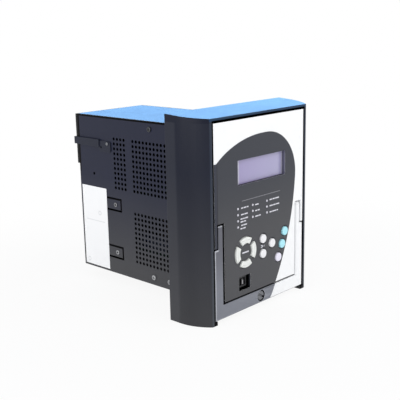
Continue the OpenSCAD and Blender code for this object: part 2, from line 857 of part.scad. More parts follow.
module front_board() {
    color("#1f6b3c") difference() {
        face_extrude(board_y, board_y + board_t)
            translate([-board_hw, plate_bottom + skirt_wall + 1])
                square([2 * board_hw, skirt_top - plate_bottom - 2 * skirt_wall - 2]);
        for (x = [-1, 1], z = boss_zs) translate([x * boss_x, 0, z])
            rod_y(screw_d + 2 * hole_play, board_y - cut, board_y + board_t + cut);
    }
}

module board_screws() {
    color("#b9bcc2") for (x = [-1, 1], z = boss_zs) translate([x * boss_x, 0, z]) {
        rod_y(screw_d, board_y - board_screw_l, board_y + board_t);
        rod_y(screw_head_d, board_y + board_t, board_y + board_t + board_screw_head);
    }
}

module keypad_mat() {
    color("#5a5c63") face_extrude(mat_y, board_y)
        translate(mat_box[0]) square(mat_box[1] - mat_box[0]);
}

module port_socket() {
    color("#c3c6cb") difference() {
        face_extrude(port_shell_y, board_y) port_opening(port_shell);
        face_extrude(port_shell_y - cut, board_y - port_floor) difference() {
            port_opening(port_inside);
            port_opening(port_tongue);
        }
    }
}

module handle_pins() {
    color("#b9bcc2") translate([0, pivot_y, pivot_z]) for (s = [0, 1]) mirror([s, 0, 0])
        rod_x(pin_d, skirt_x - skirt_wall - 0.5, plate_x - 0.8);
}

module chassis_front() {
    color("#a9adb3") face_extrude(skirt_back, skirt_back + plate_sheet)
        translate([-skirt_x, plate_bottom]) square([2 * skirt_x, skirt_top - plate_bottom]);
}

// Sheet deck that runs in the guide rails, with a lip against the chassis front
module tray(z) {
    box([-tray_hw, tray_hw], [tray_y0, tray_y1], [z - tray_t / 2, z + tray_t / 2]);
    box([-deck_hw, deck_hw], [tray_y0, tray_y0 + tray_t], [z + tray_t / 2, z + tray_lip]);
}

module upper_tray() {
    color("#a9adb3") tray(rail_upper_z);
}

module lower_tray() {
    color("#a9adb3") tray(rail_lower_z);
}

module deck_board(z) {
    box([-deck_hw, deck_hw], [board_y0, board_y0 + board_l], [z, z + board_t]);
}

module main_board() {
    color("#1f6b3c") {
        deck_board(board_z);
        for (p = board_parts) translate([p[0][0], board_y0 + p[0][1], board_z + board_t]) cube(p[1]);
    }
}

module io_board() {
    color("#1f6b3c") deck_board(io_z);
}

module board_standoffs() {
    color("#c9b26a") for (z = rail_zs, x = [-1, 1], y = [8, board_l - 8])
        translate([x * (deck_hw - 6), board_y0 + y, z + tray_t / 2]) cylinder(d = standoff_d, h = standoff_h);
}

module output_relays() {
    color("#23324f") for (i = [0 : 3])
        translate([-deck_hw + 4, board_y0 + 12 + i * (relay_size[1] + 1.5), io_z + board_t])
            cube(relay_size);
}

// Wound current transformer: bobbin between two core cheeks
module transformer() {
    core = 6;
    box([0, ct_size[0]], [0, core], [0, ct_size[2]]);
    box([0, ct_size[0]], [ct_size[1] - core, ct_size[1]], [0, ct_size[2]]);
    translate([ct_size[0] / 2, 0, ct_size[2] / 2]) rod_y(ct_size[0] - 2, core, ct_size[1] - core);
}

module transformers() {
    color("#b5763a") for (i = [0 : 2])
        translate([4, board_y0 + 10 + i * ct_pitch, io_z + board_t]) transformer();
}

module rear_plugs() {
    color("#2c2d31") for (z = rail_zs)
        box([-plug_size[0] / 2, plug_size[0] / 2], [tray_y1 - plug_size[1], tray_y1],
            [z + tray_t / 2, z + standoff_h + plug_size[2]]);
}

// Front outline of the U-shaped handle
module handle_outline() {
    translate([-plate_x, bar_z]) square([2 * plate_x, bar_h]);
    for (s = [0, 1]) mirror([s, 0]) {
        translate([arm_in, bar_z]) square([arm_w, arm_step_z - bar_z]);
        translate([arm_in, bar_z]) square([arm_top_w, arm_top_z - bar_z]);
    }
}

// Side outline of the handle arm: round behind its pivot, with a small rounding at the front corner
module arm_side() {
    half_t = arm_t / 2;
    translate([face_y, bar_z]) square([bar_t, bar_h]);
    translate([face_y, bar_z + bar_h]) square([arm_t, pivot_z - bar_z - bar_h]);
    translate([pivot_y, pivot_z]) circle(half_t);
    translate([face_y, pivot_z - cut]) square([half_t, half_t - arm_edge_r + cut]);
    translate([face_y + arm_edge_r, pivot_z]) square([half_t - arm_edge_r, half_t]);
    translate([face_y + arm_edge_r, arm_top_z - arm_edge_r]) circle(arm_edge_r);
}

module handle() {
    color("#7d828e") difference() {
        intersection() {
            face_extrude(face_y, face_y + arm_t) handle_outline();
            side_extrude(-plate_x - cut, plate_x + cut) arm_side();
        }
        translate([0, pivot_y, pivot_z]) rod_x(pin_d + 2 * pin_play, -plate_x - cut, plate_x + cut);
        translate([0, 0, latch_z]) {
            rod_y(latch_recess_d, face_y - cut, recess_y);
            rod_y(latch_d + 2 * latch_play, recess_y - cut, bar_back + cut);
        }
    }
}

module handle_film() {
    color("#f4f6f8") face_extrude(film_y, face_y) difference() {
        intersection() {
            handle_outline();
            translate([0, bar_z - cut]) square([bezel_rear_w, arm_top_z - arm_edge_r - bar_z]);
        }
        dark_field();
        translate([0, latch_z]) circle(d = latch_recess_d);
    }
}

module latch_screw() {
    slot_w = 1.4;
    color("#9fa3aa") translate([0, 0, latch_z]) difference() {
        union() {
            rod_y(latch_head_d, head_y, head_y + latch_head_t);
            rod_y(latch_d, head_y + latch_head_t, latch_tip);
        }
        rotate([0, 30, 0]) box([-latch_d, latch_d], [head_y - cut, head_y + latch_head_t / 2],
            [-slot_w / 2, slot_w / 2]);
    }
}

// Key cap with a retaining flange and a stem towards the mat
module key_solid(stem) {
    face_extrude(film_y - key_proud, key_back) children(0);
    face_extrude(key_back, key_back + key_flange_t) children(1);
    translate([stem[0], 0, stem[1]])
        rod_y(key_stem_d, key_back + key_flange_t, mat_y - key_travel - key_mat_gap);
}

module arrow_key(i) {
    color("#eceee8") key_solid([nav_x + nav_mid_r * cos(90 * i), nav_mid_z + nav_mid_r * sin(90 * i)]) {
        arrow_outline(i, 0);
        arrow_outline(i, key_flange);
    }
}

module round_key(i, shade) {
    color(shade) key_solid(key_spots[i]) {
        translate(key_spots[i]) circle(d = key_d);
        translate(key_spots[i]) circle(d = key_d + 2 * key_flange);
    }
}

bezel();
case_side_left();
case_side_right();
case_top();
case_bottom();
rear_panel();
upper_terminal_block();
lower_terminal_blocks();
terminal_screws();
strap_left();
strap_right();
strap_screws();
side_label();
case_screws();
rail_rivets();
guide_rails();
lip_screws();
latch_bracket();
latch_bush();
earth_stud();
rear_sockets();
front_plate();
face_film();
lcd_window();
lcd_module();
lamp_lenses();
front_board();
board_screws();
keypad_mat();
port_socket();
handle_pins();
chassis_front();
upper_tray();
lower_tray();
main_board();
io_board();
board_standoffs();
output_relays();
transformers();
rear_plugs();
handle();
handle_film();
latch_screw();
arrow_key(0);  // key_right
arrow_key(1);  // key_up
arrow_key(2);  // key_left
arrow_key(3);  // key_down
round_key(0, "#f2eff2");  // key_1
round_key(1, "#f2eff2");  // key_2
round_key(2, "#f2eff2");  // key_3
round_key(3, "#8fdcf0");  // key_4
round_key(4, "#8fdcf0");  // key_5
round_key(5, "#e6def2");  // key_6
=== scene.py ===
import bpy
import math
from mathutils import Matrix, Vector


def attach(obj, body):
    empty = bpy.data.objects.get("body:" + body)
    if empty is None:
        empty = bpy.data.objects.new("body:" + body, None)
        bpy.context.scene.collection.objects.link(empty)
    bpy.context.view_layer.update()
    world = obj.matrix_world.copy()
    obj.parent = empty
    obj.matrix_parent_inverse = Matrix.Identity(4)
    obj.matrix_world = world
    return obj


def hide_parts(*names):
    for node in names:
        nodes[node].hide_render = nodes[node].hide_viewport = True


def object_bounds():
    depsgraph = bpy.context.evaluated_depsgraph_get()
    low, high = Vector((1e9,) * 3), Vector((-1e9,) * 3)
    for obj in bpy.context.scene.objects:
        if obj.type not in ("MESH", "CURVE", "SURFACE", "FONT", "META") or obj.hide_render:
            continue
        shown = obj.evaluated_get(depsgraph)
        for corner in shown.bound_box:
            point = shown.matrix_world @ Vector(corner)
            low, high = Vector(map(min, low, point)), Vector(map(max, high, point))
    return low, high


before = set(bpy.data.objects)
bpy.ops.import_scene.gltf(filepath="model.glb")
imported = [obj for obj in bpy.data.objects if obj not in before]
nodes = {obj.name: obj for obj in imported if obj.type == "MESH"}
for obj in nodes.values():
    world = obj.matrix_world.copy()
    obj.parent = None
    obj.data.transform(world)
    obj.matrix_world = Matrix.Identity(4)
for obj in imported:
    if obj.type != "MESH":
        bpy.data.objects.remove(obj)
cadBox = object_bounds()
print("frame loaded:", len(nodes), "nodes")


# small helpers

near = 0.00003  # metres within which two levels count as one
sharpTurn = 40  # degrees from which an edge is rounded
square = 0.9  # a face points along an axis when its normal has this much of it


def mm(*values):
    return tuple(v / 1000 for v in values)


def clearSelection():
    if bpy.context.object and bpy.context.object.mode != "OBJECT":
        bpy.ops.object.mode_set(mode="OBJECT")
    bpy.ops.object.select_all(action="DESELECT")


def makeActive(obj):
    clearSelection()
    obj.select_set(True)
    bpy.context.view_layer.objects.active = obj


def backToObject():
    bpy.ops.object.mode_set(mode="OBJECT")


def dropPick(obj, kind):  # nothing picked in edit mode, then back in object mode
    makeActive(obj)
    bpy.ops.object.mode_set(mode="EDIT")
    bpy.ops.mesh.select_mode(type=kind)
    bpy.ops.mesh.select_all(action="DESELECT")
    backToObject()


def pickFaces(obj, test):
    dropPick(obj, "FACE")
    for face in obj.data.polygons:
        face.select = test(face.center, face.normal)
    bpy.ops.object.mode_set(mode="EDIT")


def pickEdges(obj, test):
    dropPick(obj, "EDGE")
    points = obj.data.vertices
    for edge in obj.data.edges:
        edge.select = test(points[edge.vertices[0]].co, points[edge.vertices[1]].co)
    bpy.ops.object.mode_set(mode="EDIT")


def pickAll(obj):
    makeActive(obj)
    bpy.ops.object.mode_set(mode="EDIT")
    bpy.ops.mesh.select_all(action="SELECT")


def settle(obj):  # place goes into the mesh
    makeActive(obj)
    bpy.ops.object.transform_apply(location=True, rotation=True, scale=True)


def applyModifier(obj, kind, **values):
    makeActive(obj)
    mod = obj.modifiers.new(kind.lower(), kind)
    for key, value in values.items():
        setattr(mod, key, value)
    bpy.ops.object.modifier_apply(modifier=mod.name)


def roundEdges(obj, width, steps):  # every sharp edge, in mm
    applyModifier(obj, "BEVEL", width=width / 1000, segments=steps, limit_method="ANGLE",
                  angle_limit=math.radians(sharpTurn), use_clamp_overlap=False, harden_normals=True)


def smooth(obj, angle=35):
    makeActive(obj)
    bpy.ops.object.shade_smooth_by_angle(angle=math.radians(angle))


def joinPieces(pieces, name):
    clearSelection()
    for obj in pieces:
        obj.select_set(True)
    bpy.context.view_layer.objects.active = pieces[0]
    if len(pieces) > 1:
        bpy.ops.object.join()
    joined = bpy.context.view_layer.objects.active
    joined.name = joined.data.name = name
    return joined


def dress(obj, body, material):
    obj.data.materials.clear()
    obj.data.materials.append(material)
    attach(obj, body)


def addSlab(lo, hi):  # a cube set to its two corners, in mm
    clearSelection()
    middle = [(a + b) / 2000 for a, b in zip(lo, hi)]
    bpy.ops.mesh.primitive_cube_add(size=1, location=middle)
    slab = bpy.context.object
    slab.scale = [(b - a) / 1000 for a, b in zip(lo, hi)]
    settle(slab)
    return slab


def addRod(diameter, low, high, sides):  # a round bar along Z, in mm
    clearSelection()
    bpy.ops.mesh.primitive_cylinder_add(vertices=sides, radius=diameter / 2000, depth=(high - low) / 1000,
                                        location=mm(0, 0, (low + high) / 2))
    rod = bpy.context.object
    settle(rod)
    return rod


def roundRim(obj, axis, level, width, steps):  # the edges that lie at one level, in mm
    pickEdges(obj, lambda a, b: max(abs(getattr(p, axis) - level / 1000) for p in (a, b)) < near)
    bpy.ops.mesh.bevel(offset=width / 1000, segments=steps, affect="EDGES")
    backToObject()


def cutAway(obj, cutter):
    applyModifier(obj, "BOOLEAN", operation="DIFFERENCE", object=cutter, solver="EXACT")
    bpy.data.objects.remove(cutter, do_unlink=True)


def copyAt(source, place, turn=(0, 0, 0)):  # own copy, spun about its axis first
    copy = source.copy()
    copy.data = source.data.copy()
    bpy.context.collection.objects.link(copy)
    copy.location = mm(*place)
    copy.rotation_mode = "ZYX"
    copy.rotation_euler = [math.radians(a) for a in turn]
    settle(copy)
    copy.rotation_mode = "XYZ"
    return copy


def nodeCopy(node, name, flatten=True):  # own merged copy of a CAD node's mesh
    copy = bpy.data.objects.new(name, nodes[node].data.copy())
    copy.data.name = name
    bpy.context.collection.objects.link(copy)
    pickAll(copy)
    bpy.ops.mesh.remove_doubles(threshold=0.00001)
    if flatten:
        bpy.ops.mesh.dissolve_limited(angle_limit=math.radians(1))
    backToObject()
    return copy


def softCopy(node, name, body, material, slot, width, steps=2, flatten=True):
    copy = nodeCopy(node, name, flatten)
    smooth(copy)
    roundEdges(copy, width, steps)
    dress(copy, body, material)
    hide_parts(node)


# camera and stage

cameraView = {"place": (-0.58064, -0.51399, 0.19056), "turn": (76.6102, 1.1426, -46.6853),
              "lens": 68.909, "sensor": 36, "far": 50}

clearSelection()
bpy.ops.object.camera_add(location=cameraView["place"],
                          rotation=[math.radians(a) for a in cameraView["turn"]])
camera = bpy.context.object
camera.data.lens = cameraView["lens"]
camera.data.sensor_width = cameraView["sensor"]
camera.data.clip_end = cameraView["far"]
bpy.context.scene.camera = camera
bpy.context.scene.view_settings.view_transform = "Standard"

studio = {
    "keyPlace": (0.45, -1.5, 0.9), "keySize": (1.3, 1.3), "keyPower": 12, "keyColour": (1.0, 0.99, 0.97),
    "fillPlace": (-1.7, 0.1, 0.25), "fillSize": (1.6, 0.9), "fillPower": 13, "fillColour": (1.0, 1.0, 1.0),
    "coolPlace": (1.25, 1.35, 0.5), "coolSize": (2.6, 0.9), "coolPower": 32,
    "coolColour": (0.09, 0.45, 1.0),
    "skyLow": (0.74, 0.74, 0.74), "skyHigh": (0.66, 0.67, 0.70), "skyRise": (-0.1, 0.8),
}


def addPanelLight(name, place, size, power, colour):
    clearSelection()
    bpy.ops.object.light_add(type="AREA", location=place)
    lamp = bpy.context.object
    lamp.name = name
    lamp.data.shape = "RECTANGLE"
    lamp.data.size, lamp.data.size_y = size
    lamp.data.energy = power
    lamp.data.color = colour
    lamp.visible_camera = False
    aim = -lamp.location
    lamp.rotation_euler = aim.to_track_quat("-Z", "Y").to_euler()


for light in ("key", "fill", "cool"):
    addPanelLight(light + "Light", *(studio[light + part] for part in ("Place", "Size", "Power", "Colour")))


# node helpers

def addNode(tree, kind, **values):
    node = tree.nodes.new(kind)
    for key, value in values.items():
        setattr(node, key, value)
    return node


def feed(tree, socket, value):  # a link or a plain value
    if isinstance(value, bpy.types.NodeSocket):
        tree.links.new(value, socket)
    else:
        socket.default_value = value


def mathNode(tree, kind, a, b=0.0, c=0.0, clamp=False):
    node = addNode(tree, "ShaderNodeMath", operation=kind, use_clamp=clamp)
    for socket, value in zip(node.inputs, (a, b, c)):
        feed(tree, socket, value)
    return node.outputs[0]


def mapRange(tree, value, low, high, to0=0.0, to1=1.0, kind="SMOOTHSTEP"):
    node = addNode(tree, "ShaderNodeMapRange", interpolation_type=kind)
    labels = ("Value", "From Min", "From Max", "To Min", "To Max")
    for label, v in zip(labels, (value, low, high, to0, to1)):
        feed(tree, node.inputs[label], v)
    return node.outputs["Result"]


def mixColour(tree, amount, a, b, blend="MIX"):
    node = addNode(tree, "ShaderNodeMix", data_type="RGBA", blend_type=blend)
    feed(tree, node.inputs[0], amount)
    for socket, value in ((node.inputs[6], a), (node.inputs[7], b)):
        feed(tree, socket, value if isinstance(value, bpy.types.NodeSocket) else (*value, 1))
    return node.outputs[2]


def noise(tree, vector, scale, detail=3.0, rough=0.5):
    node = addNode(tree, "ShaderNodeTexNoise")
    tree.links.new(vector, node.inputs["Vector"])
    feed(tree, node.inputs["Scale"], scale)
    node.inputs["Detail"].default_value = detail
    node.inputs["Roughness"].default_value = rough
    return node.outputs["Fac"]


def objectPlace(tree):
    return addNode(tree, "ShaderNodeTexCoord").outputs["Object"]


def startGroup(name, inputs, outputs):
    group = bpy.data.node_groups.new(name, "ShaderNodeTree")
    for label, value in inputs:
        socket = group.interface.new_socket(name=label, in_out="INPUT", socket_type="NodeSocketFloat")
        socket.default_value = value
    for label in outputs:
        group.interface.new_socket(name=label, in_out="OUTPUT", socket_type="NodeSocketFloat")
    return group, group.nodes.new("NodeGroupInput"), group.nodes.new("NodeGroupOutput")


# moulded or sprayed skin: fine pits for the bump, slow drift for the colour
grainValues = {"pitShare": 0.6, "fineScale": 0.45, "slowScale": 22.0}
mouldGrain, gIn, gOut = startGroup("mouldGrain", (("Scale", 1800.0), ("Drift", 0.12)), ("Height", "Tone"))
place = objectPlace(mouldGrain)
pits = addNode(mouldGrain, "ShaderNodeTexVoronoi", feature="SMOOTH_F1")
mouldGrain.links.new(place, pits.inputs["Vector"])
mouldGrain.links.new(gIn.outputs["Scale"], pits.inputs["Scale"])
fineScale = mathNode(mouldGrain, "MULTIPLY", gIn.outputs["Scale"], grainValues["fineScale"])
fine = noise(mouldGrain, place, fineScale, detail=4, rough=0.6)
height = mathNode(mouldGrain, "MULTIPLY_ADD", pits.outputs["Distance"], grainValues["pitShare"], fine)
mouldGrain.links.new(height, gOut.inputs["Height"])
slow = noise(mouldGrain, place, grainValues["slowScale"], detail=3, rough=0.55)
spread = mathNode(mouldGrain, "MULTIPLY", mathNode(mouldGrain, "SUBTRACT", slow, 0.5), gIn.outputs["Drift"])
mouldGrain.links.new(mathNode(mouldGrain, "ADD", spread, 1.0), gOut.inputs["Tone"])

# finger marks and wipe streaks in the gloss
markValues = {"stretch": (1.0, 1.0, 0.25), "blotScale": 34.0, "wipeScale": 150.0, "wipeShare": 0.4}
handMarks, gIn, gOut = startGroup("handMarks", (("Roughness", 0.4), ("Spread", 0.15)), ("Roughness",))
place = objectPlace(handMarks)
stretch = addNode(handMarks, "ShaderNodeMapping")
stretch.inputs["Scale"].default_value = markValues["stretch"]
handMarks.links.new(place, stretch.inputs["Vector"])
blots = noise(handMarks, place, markValues["blotScale"], detail=4, rough=0.6)
blots = mathNode(handMarks, "MULTIPLY", blots, 1 - markValues["wipeShare"])
wipes = noise(handMarks, stretch.outputs["Vector"], markValues["wipeScale"], detail=2, rough=0.5)
both = mathNode(handMarks, "MULTIPLY_ADD", wipes, markValues["wipeShare"], blots)
swing = mathNode(handMarks, "MULTIPLY", mathNode(handMarks, "SUBTRACT", both, 0.5), gIn.outputs["Spread"])
rough = mathNode(handMarks, "ADD", swing, gIn.outputs["Roughness"], clamp=True)
handMarks.links.new(rough, gOut.inputs["Roughness"])

# paler rubbed edges
rubValues = {"radius": 0.0008, "turn": (0.02, 0.22), "breakScale": 420.0, "break": (0.35, 0.7)}
edgeRub, gIn, gOut = startGroup("edgeRub", (("Amount", 0.5),), ("Mask",))
rounded = addNode(edgeRub, "ShaderNodeBevel", samples=4)
rounded.inputs["Radius"].default_value = rubValues["radius"]
shape = addNode(edgeRub, "ShaderNodeNewGeometry")
dot = addNode(edgeRub, "ShaderNodeVectorMath", operation="DOT_PRODUCT")
edgeRub.links.new(rounded.outputs["Normal"], dot.inputs[0])
edgeRub.links.new(shape.outputs["Normal"], dot.inputs[1])
turned = mapRange(edgeRub, mathNode(edgeRub, "SUBTRACT", 1.0, dot.outputs["Value"]), *rubValues["turn"])
patches = noise(edgeRub, objectPlace(edgeRub), rubValues["breakScale"], detail=4, rough=0.65)
broken = mapRange(edgeRub, patches, *rubValues["break"])
mask = mathNode(edgeRub, "MULTIPLY", turned, broken)
mask = mathNode(edgeRub, "MULTIPLY", mask, gIn.outputs["Amount"], clamp=True)
edgeRub.links.new(mask, gOut.inputs["Mask"])

# dust that lies on what faces up
dustValues = {"colour": (0.42, 0.43, 0.45), "slope": (0.45, 0.95), "speckScale": 260.0, "speck": (0.38, 0.72)}
restingDust, gIn, gOut = startGroup("restingDust", (("Amount", 0.2),), ("Mask",))
upward = addNode(restingDust, "ShaderNodeSeparateXYZ")
restingDust.links.new(addNode(restingDust, "ShaderNodeNewGeometry").outputs["Normal"], upward.inputs[0])
flat = mapRange(restingDust, upward.outputs["Z"], *dustValues["slope"])
specks = noise(restingDust, objectPlace(restingDust), dustValues["speckScale"], detail=5, rough=0.7)
specks = mapRange(restingDust, specks, *dustValues["speck"])
dusty = mathNode(restingDust, "MULTIPLY", flat, specks)
dusty = mathNode(restingDust, "MULTIPLY", dusty, gIn.outputs["Amount"])
restingDust.links.new(dusty, gOut.inputs["Mask"])

# lathe or rolling lines on metal
lineValues = {"stretch": (1.0, 0.06, 1.0), "range": (0.2, 0.8), "tone": (0.82, 1.1)}
rolledLines, gIn, gOut = startGroup("rolledLines", (("Scale", 900.0),), ("Height", "Tone"))
stretch = addNode(rolledLines, "ShaderNodeMapping")
stretch.inputs["Scale"].default_value = lineValues["stretch"]
rolledLines.links.new(objectPlace(rolledLines), stretch.inputs["Vector"])
lines = noise(rolledLines, stretch.outputs["Vector"], gIn.outputs["Scale"], detail=3, rough=0.6)
rolledLines.links.new(lines, gOut.inputs["Height"])
tone = mapRange(rolledLines, lines, *lineValues["range"], *lineValues["tone"], "LINEAR")
rolledLines.links.new(tone, gOut.inputs["Tone"])


def useGroup(tree, group, **values):
    node = addNode(tree, "ShaderNodeGroup", node_tree=group)
    for label, value in values.items():
        node.inputs[label.capitalize()].default_value = value
    return node


def startMaterial(name, look):
    material = bpy.data.materials.new(name)
    material.use_nodes = True
    shader = material.node_tree.nodes["Principled BSDF"]
    for label, key in (("Metallic", "metal"), ("Coat Weight", "coat"), ("Coat Roughness", "coatRough"),
                       ("Specular IOR Level", "specular")):
        if key in look:
            shader.inputs[label].default_value = look[key]
    return material, material.node_tree, shader


bumpDepth = 0.0002  # metres between the lowest and highest point of a grain
skinDefaults = {"drift": 0.12, "marks": 0.12, "bump": 0.15}


def addSkin(tree, shader, look, colour):
    look = {**skinDefaults, **look}
    group = rolledLines if look.get("rolled") else mouldGrain
    grain = useGroup(tree, group, scale=look["grain"])
    if group is mouldGrain:
        grain.inputs["Drift"].default_value = look["drift"]
    toned = addNode(tree, "ShaderNodeVectorMath", operation="SCALE")
    feed(tree, toned.inputs[0], colour)
    tree.links.new(grain.outputs["Tone"], toned.inputs["Scale"])
    colour = toned.outputs[0]
    if look.get("rub"):
        wearAndHighlight = useGroup(tree, edgeRub, amount=look["rub"])
        colour = mixColour(tree, wearAndHighlight.outputs["Mask"], colour, look["rubColour"])
    if look.get("dust"):
        dustNode = useGroup(tree, restingDust, amount=look["dust"])
        colour = mixColour(tree, dustNode.outputs["Mask"], colour, dustValues["colour"])
    tree.links.new(colour, shader.inputs["Base Color"])
    marks = useGroup(tree, handMarks, roughness=look["rough"], spread=look["marks"])
    tree.links.new(marks.outputs["Roughness"], shader.inputs["Roughness"])
    bump = addNode(tree, "ShaderNodeBump")
    bump.inputs["Strength"].default_value = look["bump"]
    bump.inputs["Distance"].default_value = bumpDepth
    tree.links.new(grain.outputs["Height"], bump.inputs["Height"])
    tree.links.new(bump.outputs["Normal"], shader.inputs["Normal"])


def skinMaterial(name, look):
    material, tree, shader = startMaterial(name, look)
    addSkin(tree, shader, look, look["colour"])
    return material


def axisValue(tree, axis):
    split = addNode(tree, "ShaderNodeSeparateXYZ")
    tree.links.new(objectPlace(tree), split.inputs[0])
    return split.outputs[axis]


# finishes

# case paint: the cooler, deeper tone towards the top is painted cool light from above, paler below
caseLook = {"colour": (0.053, 0.0535, 0.058), "upper": (0.0105, 0.013, 0.031), "fade": (-0.08, 0.02),
            "rough": 0.38, "grain": 1100, "bump": 0.25, "drift": 0.25, "rub": 0.4,
            "rubColour": (0.08, 0.085, 0.095), "specular": 0.2}
# side sheets: the near-black inside colour is painted shade in slot and hole walls, along the top fold and
# down the rear edge
sideLook = {**caseLook, "rub": 0, "inside": (0.002, 0.002, 0.0025), "skin": 0.0494, "rimZ": 0.0863,
            "rearY": 0.1774, "rearZ": (0.012, 0.036)}
blockLook = {"colour": (0.006, 0.006, 0.007), "rough": 0.5, "grain": 1600, "bump": 0.2, "specular": 0.2,
             "rub": 0.3, "rubColour": (0.03, 0.03, 0.033), "dust": 0.12}
metalLook = {"grain": 1400, "metal": 1.0, "rolled": True}
# screws: darker towards the top and paler below, painted shade and light
screwLook = {**metalLook, "colour": (0.36, 0.365, 0.38), "upper": (0.07, 0.072, 0.08), "fade": (-0.06, 0.06),
             "rough": 0.38, "bump": 0.14}
dullLook = {**metalLook, "colour": (0.19, 0.195, 0.21), "rough": 0.36, "bump": 0.14}
zincLook = {**metalLook, "colour": (0.56, 0.57, 0.60), "rough": 0.3, "bump": 0.12}
strapLook = {"colour": (0.012, 0.0145, 0.028), "rough": 0.38, "grain": 900, "bump": 0.2, "drift": 0.2,
             "rub": 0.4, "rubColour": (0.08, 0.085, 0.1), "specular": 0.2}
brassLook = {**metalLook, "colour": (0.62, 0.47, 0.2), "rough": 0.32, "grain": 1200, "bump": 0.12}
nylonLook = {"colour": (0.004, 0.004, 0.005), "rough": 0.6, "grain": 900, "bump": 0.1, "specular": 0.1}
frameLook = {"colour": (0.18, 0.18, 0.2), "rough": 0.45, "grain": 1200, "bump": 0.15}
boardLook = {"colour": (0.012, 0.075, 0.038), "rough": 0.35, "grain": 700, "bump": 0.15}
matLook = {"colour": (0.12, 0.12, 0.13), "rough": 0.7, "grain": 800, "bump": 0.3}
relayLook = {"colour": (0.016, 0.03, 0.075), "rough": 0.35, "grain": 1000, "bump": 0.1}
keyLook = {"rough": 0.4, "grain": 1900, "bump": 0.08, "drift": 0.08}
keyWhiteLook = {**keyLook, "colour": (0.84, 0.84, 0.86), "rough": 0.42, "dust": 0.05}
keyPaleLook = {**keyLook, "colour": (0.80, 0.82, 0.79), "rough": 0.42, "drift": 0.1, "dust": 0.05}
keyCyanLook = {**keyLook, "colour": (0.42, 0.82, 0.92)}
keyLilacLook = {**keyLook, "colour": (0.82, 0.80, 0.92)}
filmWhiteLook = {"colour": (0.91, 0.918, 0.928), "rough": 0.42, "grain": 2600, "bump": 0.06, "drift": 0.05}
printLook = {"colour": (0.66, 0.66, 0.72), "rough": 0.5, "grain": 3000, "bump": 0.05}
faintPrintLook = {"colour": (0.30, 0.30, 0.33), "rough": 0.5, "grain": 3000, "bump": 0.05}
# painted shade: near black for the floor of each rivet's hollow
holeShadeLook = {"colour": (0.008, 0.008, 0.009), "rough": 0.6, "grain": 900, "bump": 0.1}
softStep = 0.0001  # metres, half of the blend between two painted zones


def beyond(tree, value, level):  # 1 above a level, 0 below it
    return mapRange(tree, value, level - softStep, level + softStep)


def short(tree, value, level):  # 1 below a level, 0 above it
    return mapRange(tree, value, level + softStep, level - softStep)


def joinMasks(tree, kind, masks):
    result = masks[0]
    for mask in masks[1:]:
        result = mathNode(tree, kind, result, mask)
    return result


def overlap(tree, *masks):  # where all of them are
    return joinMasks(tree, "MULTIPLY", masks)


def either(tree, *masks):  # where one of them is
    return joinMasks(tree, "MAXIMUM", masks)


def outside(tree, mask):
    return mathNode(tree, "SUBTRACT", 1.0, mask)


def within(tree, value, limits):  # 1 between two levels
    return overlap(tree, beyond(tree, value, limits[0]), short(tree, value, limits[1]))


def flatDistance(tree, centre):  # distance from a point on the face, across and up
    flat = addNode(tree, "ShaderNodeVectorMath", operation="MULTIPLY")
    tree.links.new(objectPlace(tree), flat.inputs[0])
    flat.inputs[1].default_value = (1, 0, 1)
    reach = addNode(tree, "ShaderNodeVectorMath", operation="DISTANCE")
    tree.links.new(flat.outputs[0], reach.inputs[0])
    reach.inputs[1].default_value = centre
    return reach.outputs["Value"]


def shadedToneMaterial(name, look):  # a cooler, deeper tone towards the top: painted light and shade
    material, tree, shader = startMaterial(name, look)
    height = axisValue(tree, "Z")
    rise = mapRange(tree, height, *look["fade"], kind="LINEAR")
    field = mixColour(tree, rise, look["colour"], look["upper"])
    if "skin" in look:  # painted shade, near black and metallic: behind the outer paint skin (slot and hole walls), along the top fold and down the rear edge
        outward = mathNode(tree, "ABSOLUTE", axisValue(tree, "X"))
        rear = overlap(tree, beyond(tree, axisValue(tree, "Y"), look["rearY"]),
                       mapRange(tree, height, *look["rearZ"]))
        shadeMask = either(tree, short(tree, outward, look["skin"]), beyond(tree, height, look["rimZ"]), rear)
        field = mixColour(tree, shadeMask, field, look["inside"])
        tree.links.new(shadeMask, shader.inputs["Metallic"])
    addSkin(tree, shader, look, field)
    return material


casePaint = shadedToneMaterial("casePaint", caseLook)
sidePaint = shadedToneMaterial("sidePaint", sideLook)
screwSteel = shadedToneMaterial("screwSteel", screwLook)
blockPlastic = skinMaterial("blockPlastic", blockLook)
dullSteel = skinMaterial("dullSteel", dullLook)
zincSteel = skinMaterial("zincSteel", zincLook)
strapSteel = skinMaterial("strapSteel", strapLook)
brassTurned = skinMaterial("brassTurned", brassLook)
railNylon = skinMaterial("railNylon", nylonLook)
frameGrey = skinMaterial("frameGrey", frameLook)
boardGreen = skinMaterial("boardGreen", boardLook)
matRubber = skinMaterial("matRubber", matLook)
relayBlue = skinMaterial("relayBlue", relayLook)
keyWhite = skinMaterial("keyWhite", keyWhiteLook)
keyPale = skinMaterial("keyPale", keyPaleLook)
keyCyan = skinMaterial("keyCyan", keyCyanLook)
keyLilac = skinMaterial("keyLilac", keyLilacLook)
filmWhite = skinMaterial("filmWhite", filmWhiteLook)
legendPrint = skinMaterial("legendPrint", printLook)
faintPrint = skinMaterial("faintPrint", faintPrintLook)
darkHole = skinMaterial("darkHole", holeShadeLook)

# main board: dark parts stand on its green top
mainLook = {**boardLook, "part": (0.012, 0.012, 0.015), "topZ": -0.001}
boardParts, tree, shader = startMaterial("boardParts", mainLook)
onPart = beyond(tree, axisValue(tree, "Z"), mainLook["topZ"])
addSkin(tree, shader, mainLook, mixColour(tree, onPart, mainLook["colour"], mainLook["part"]))

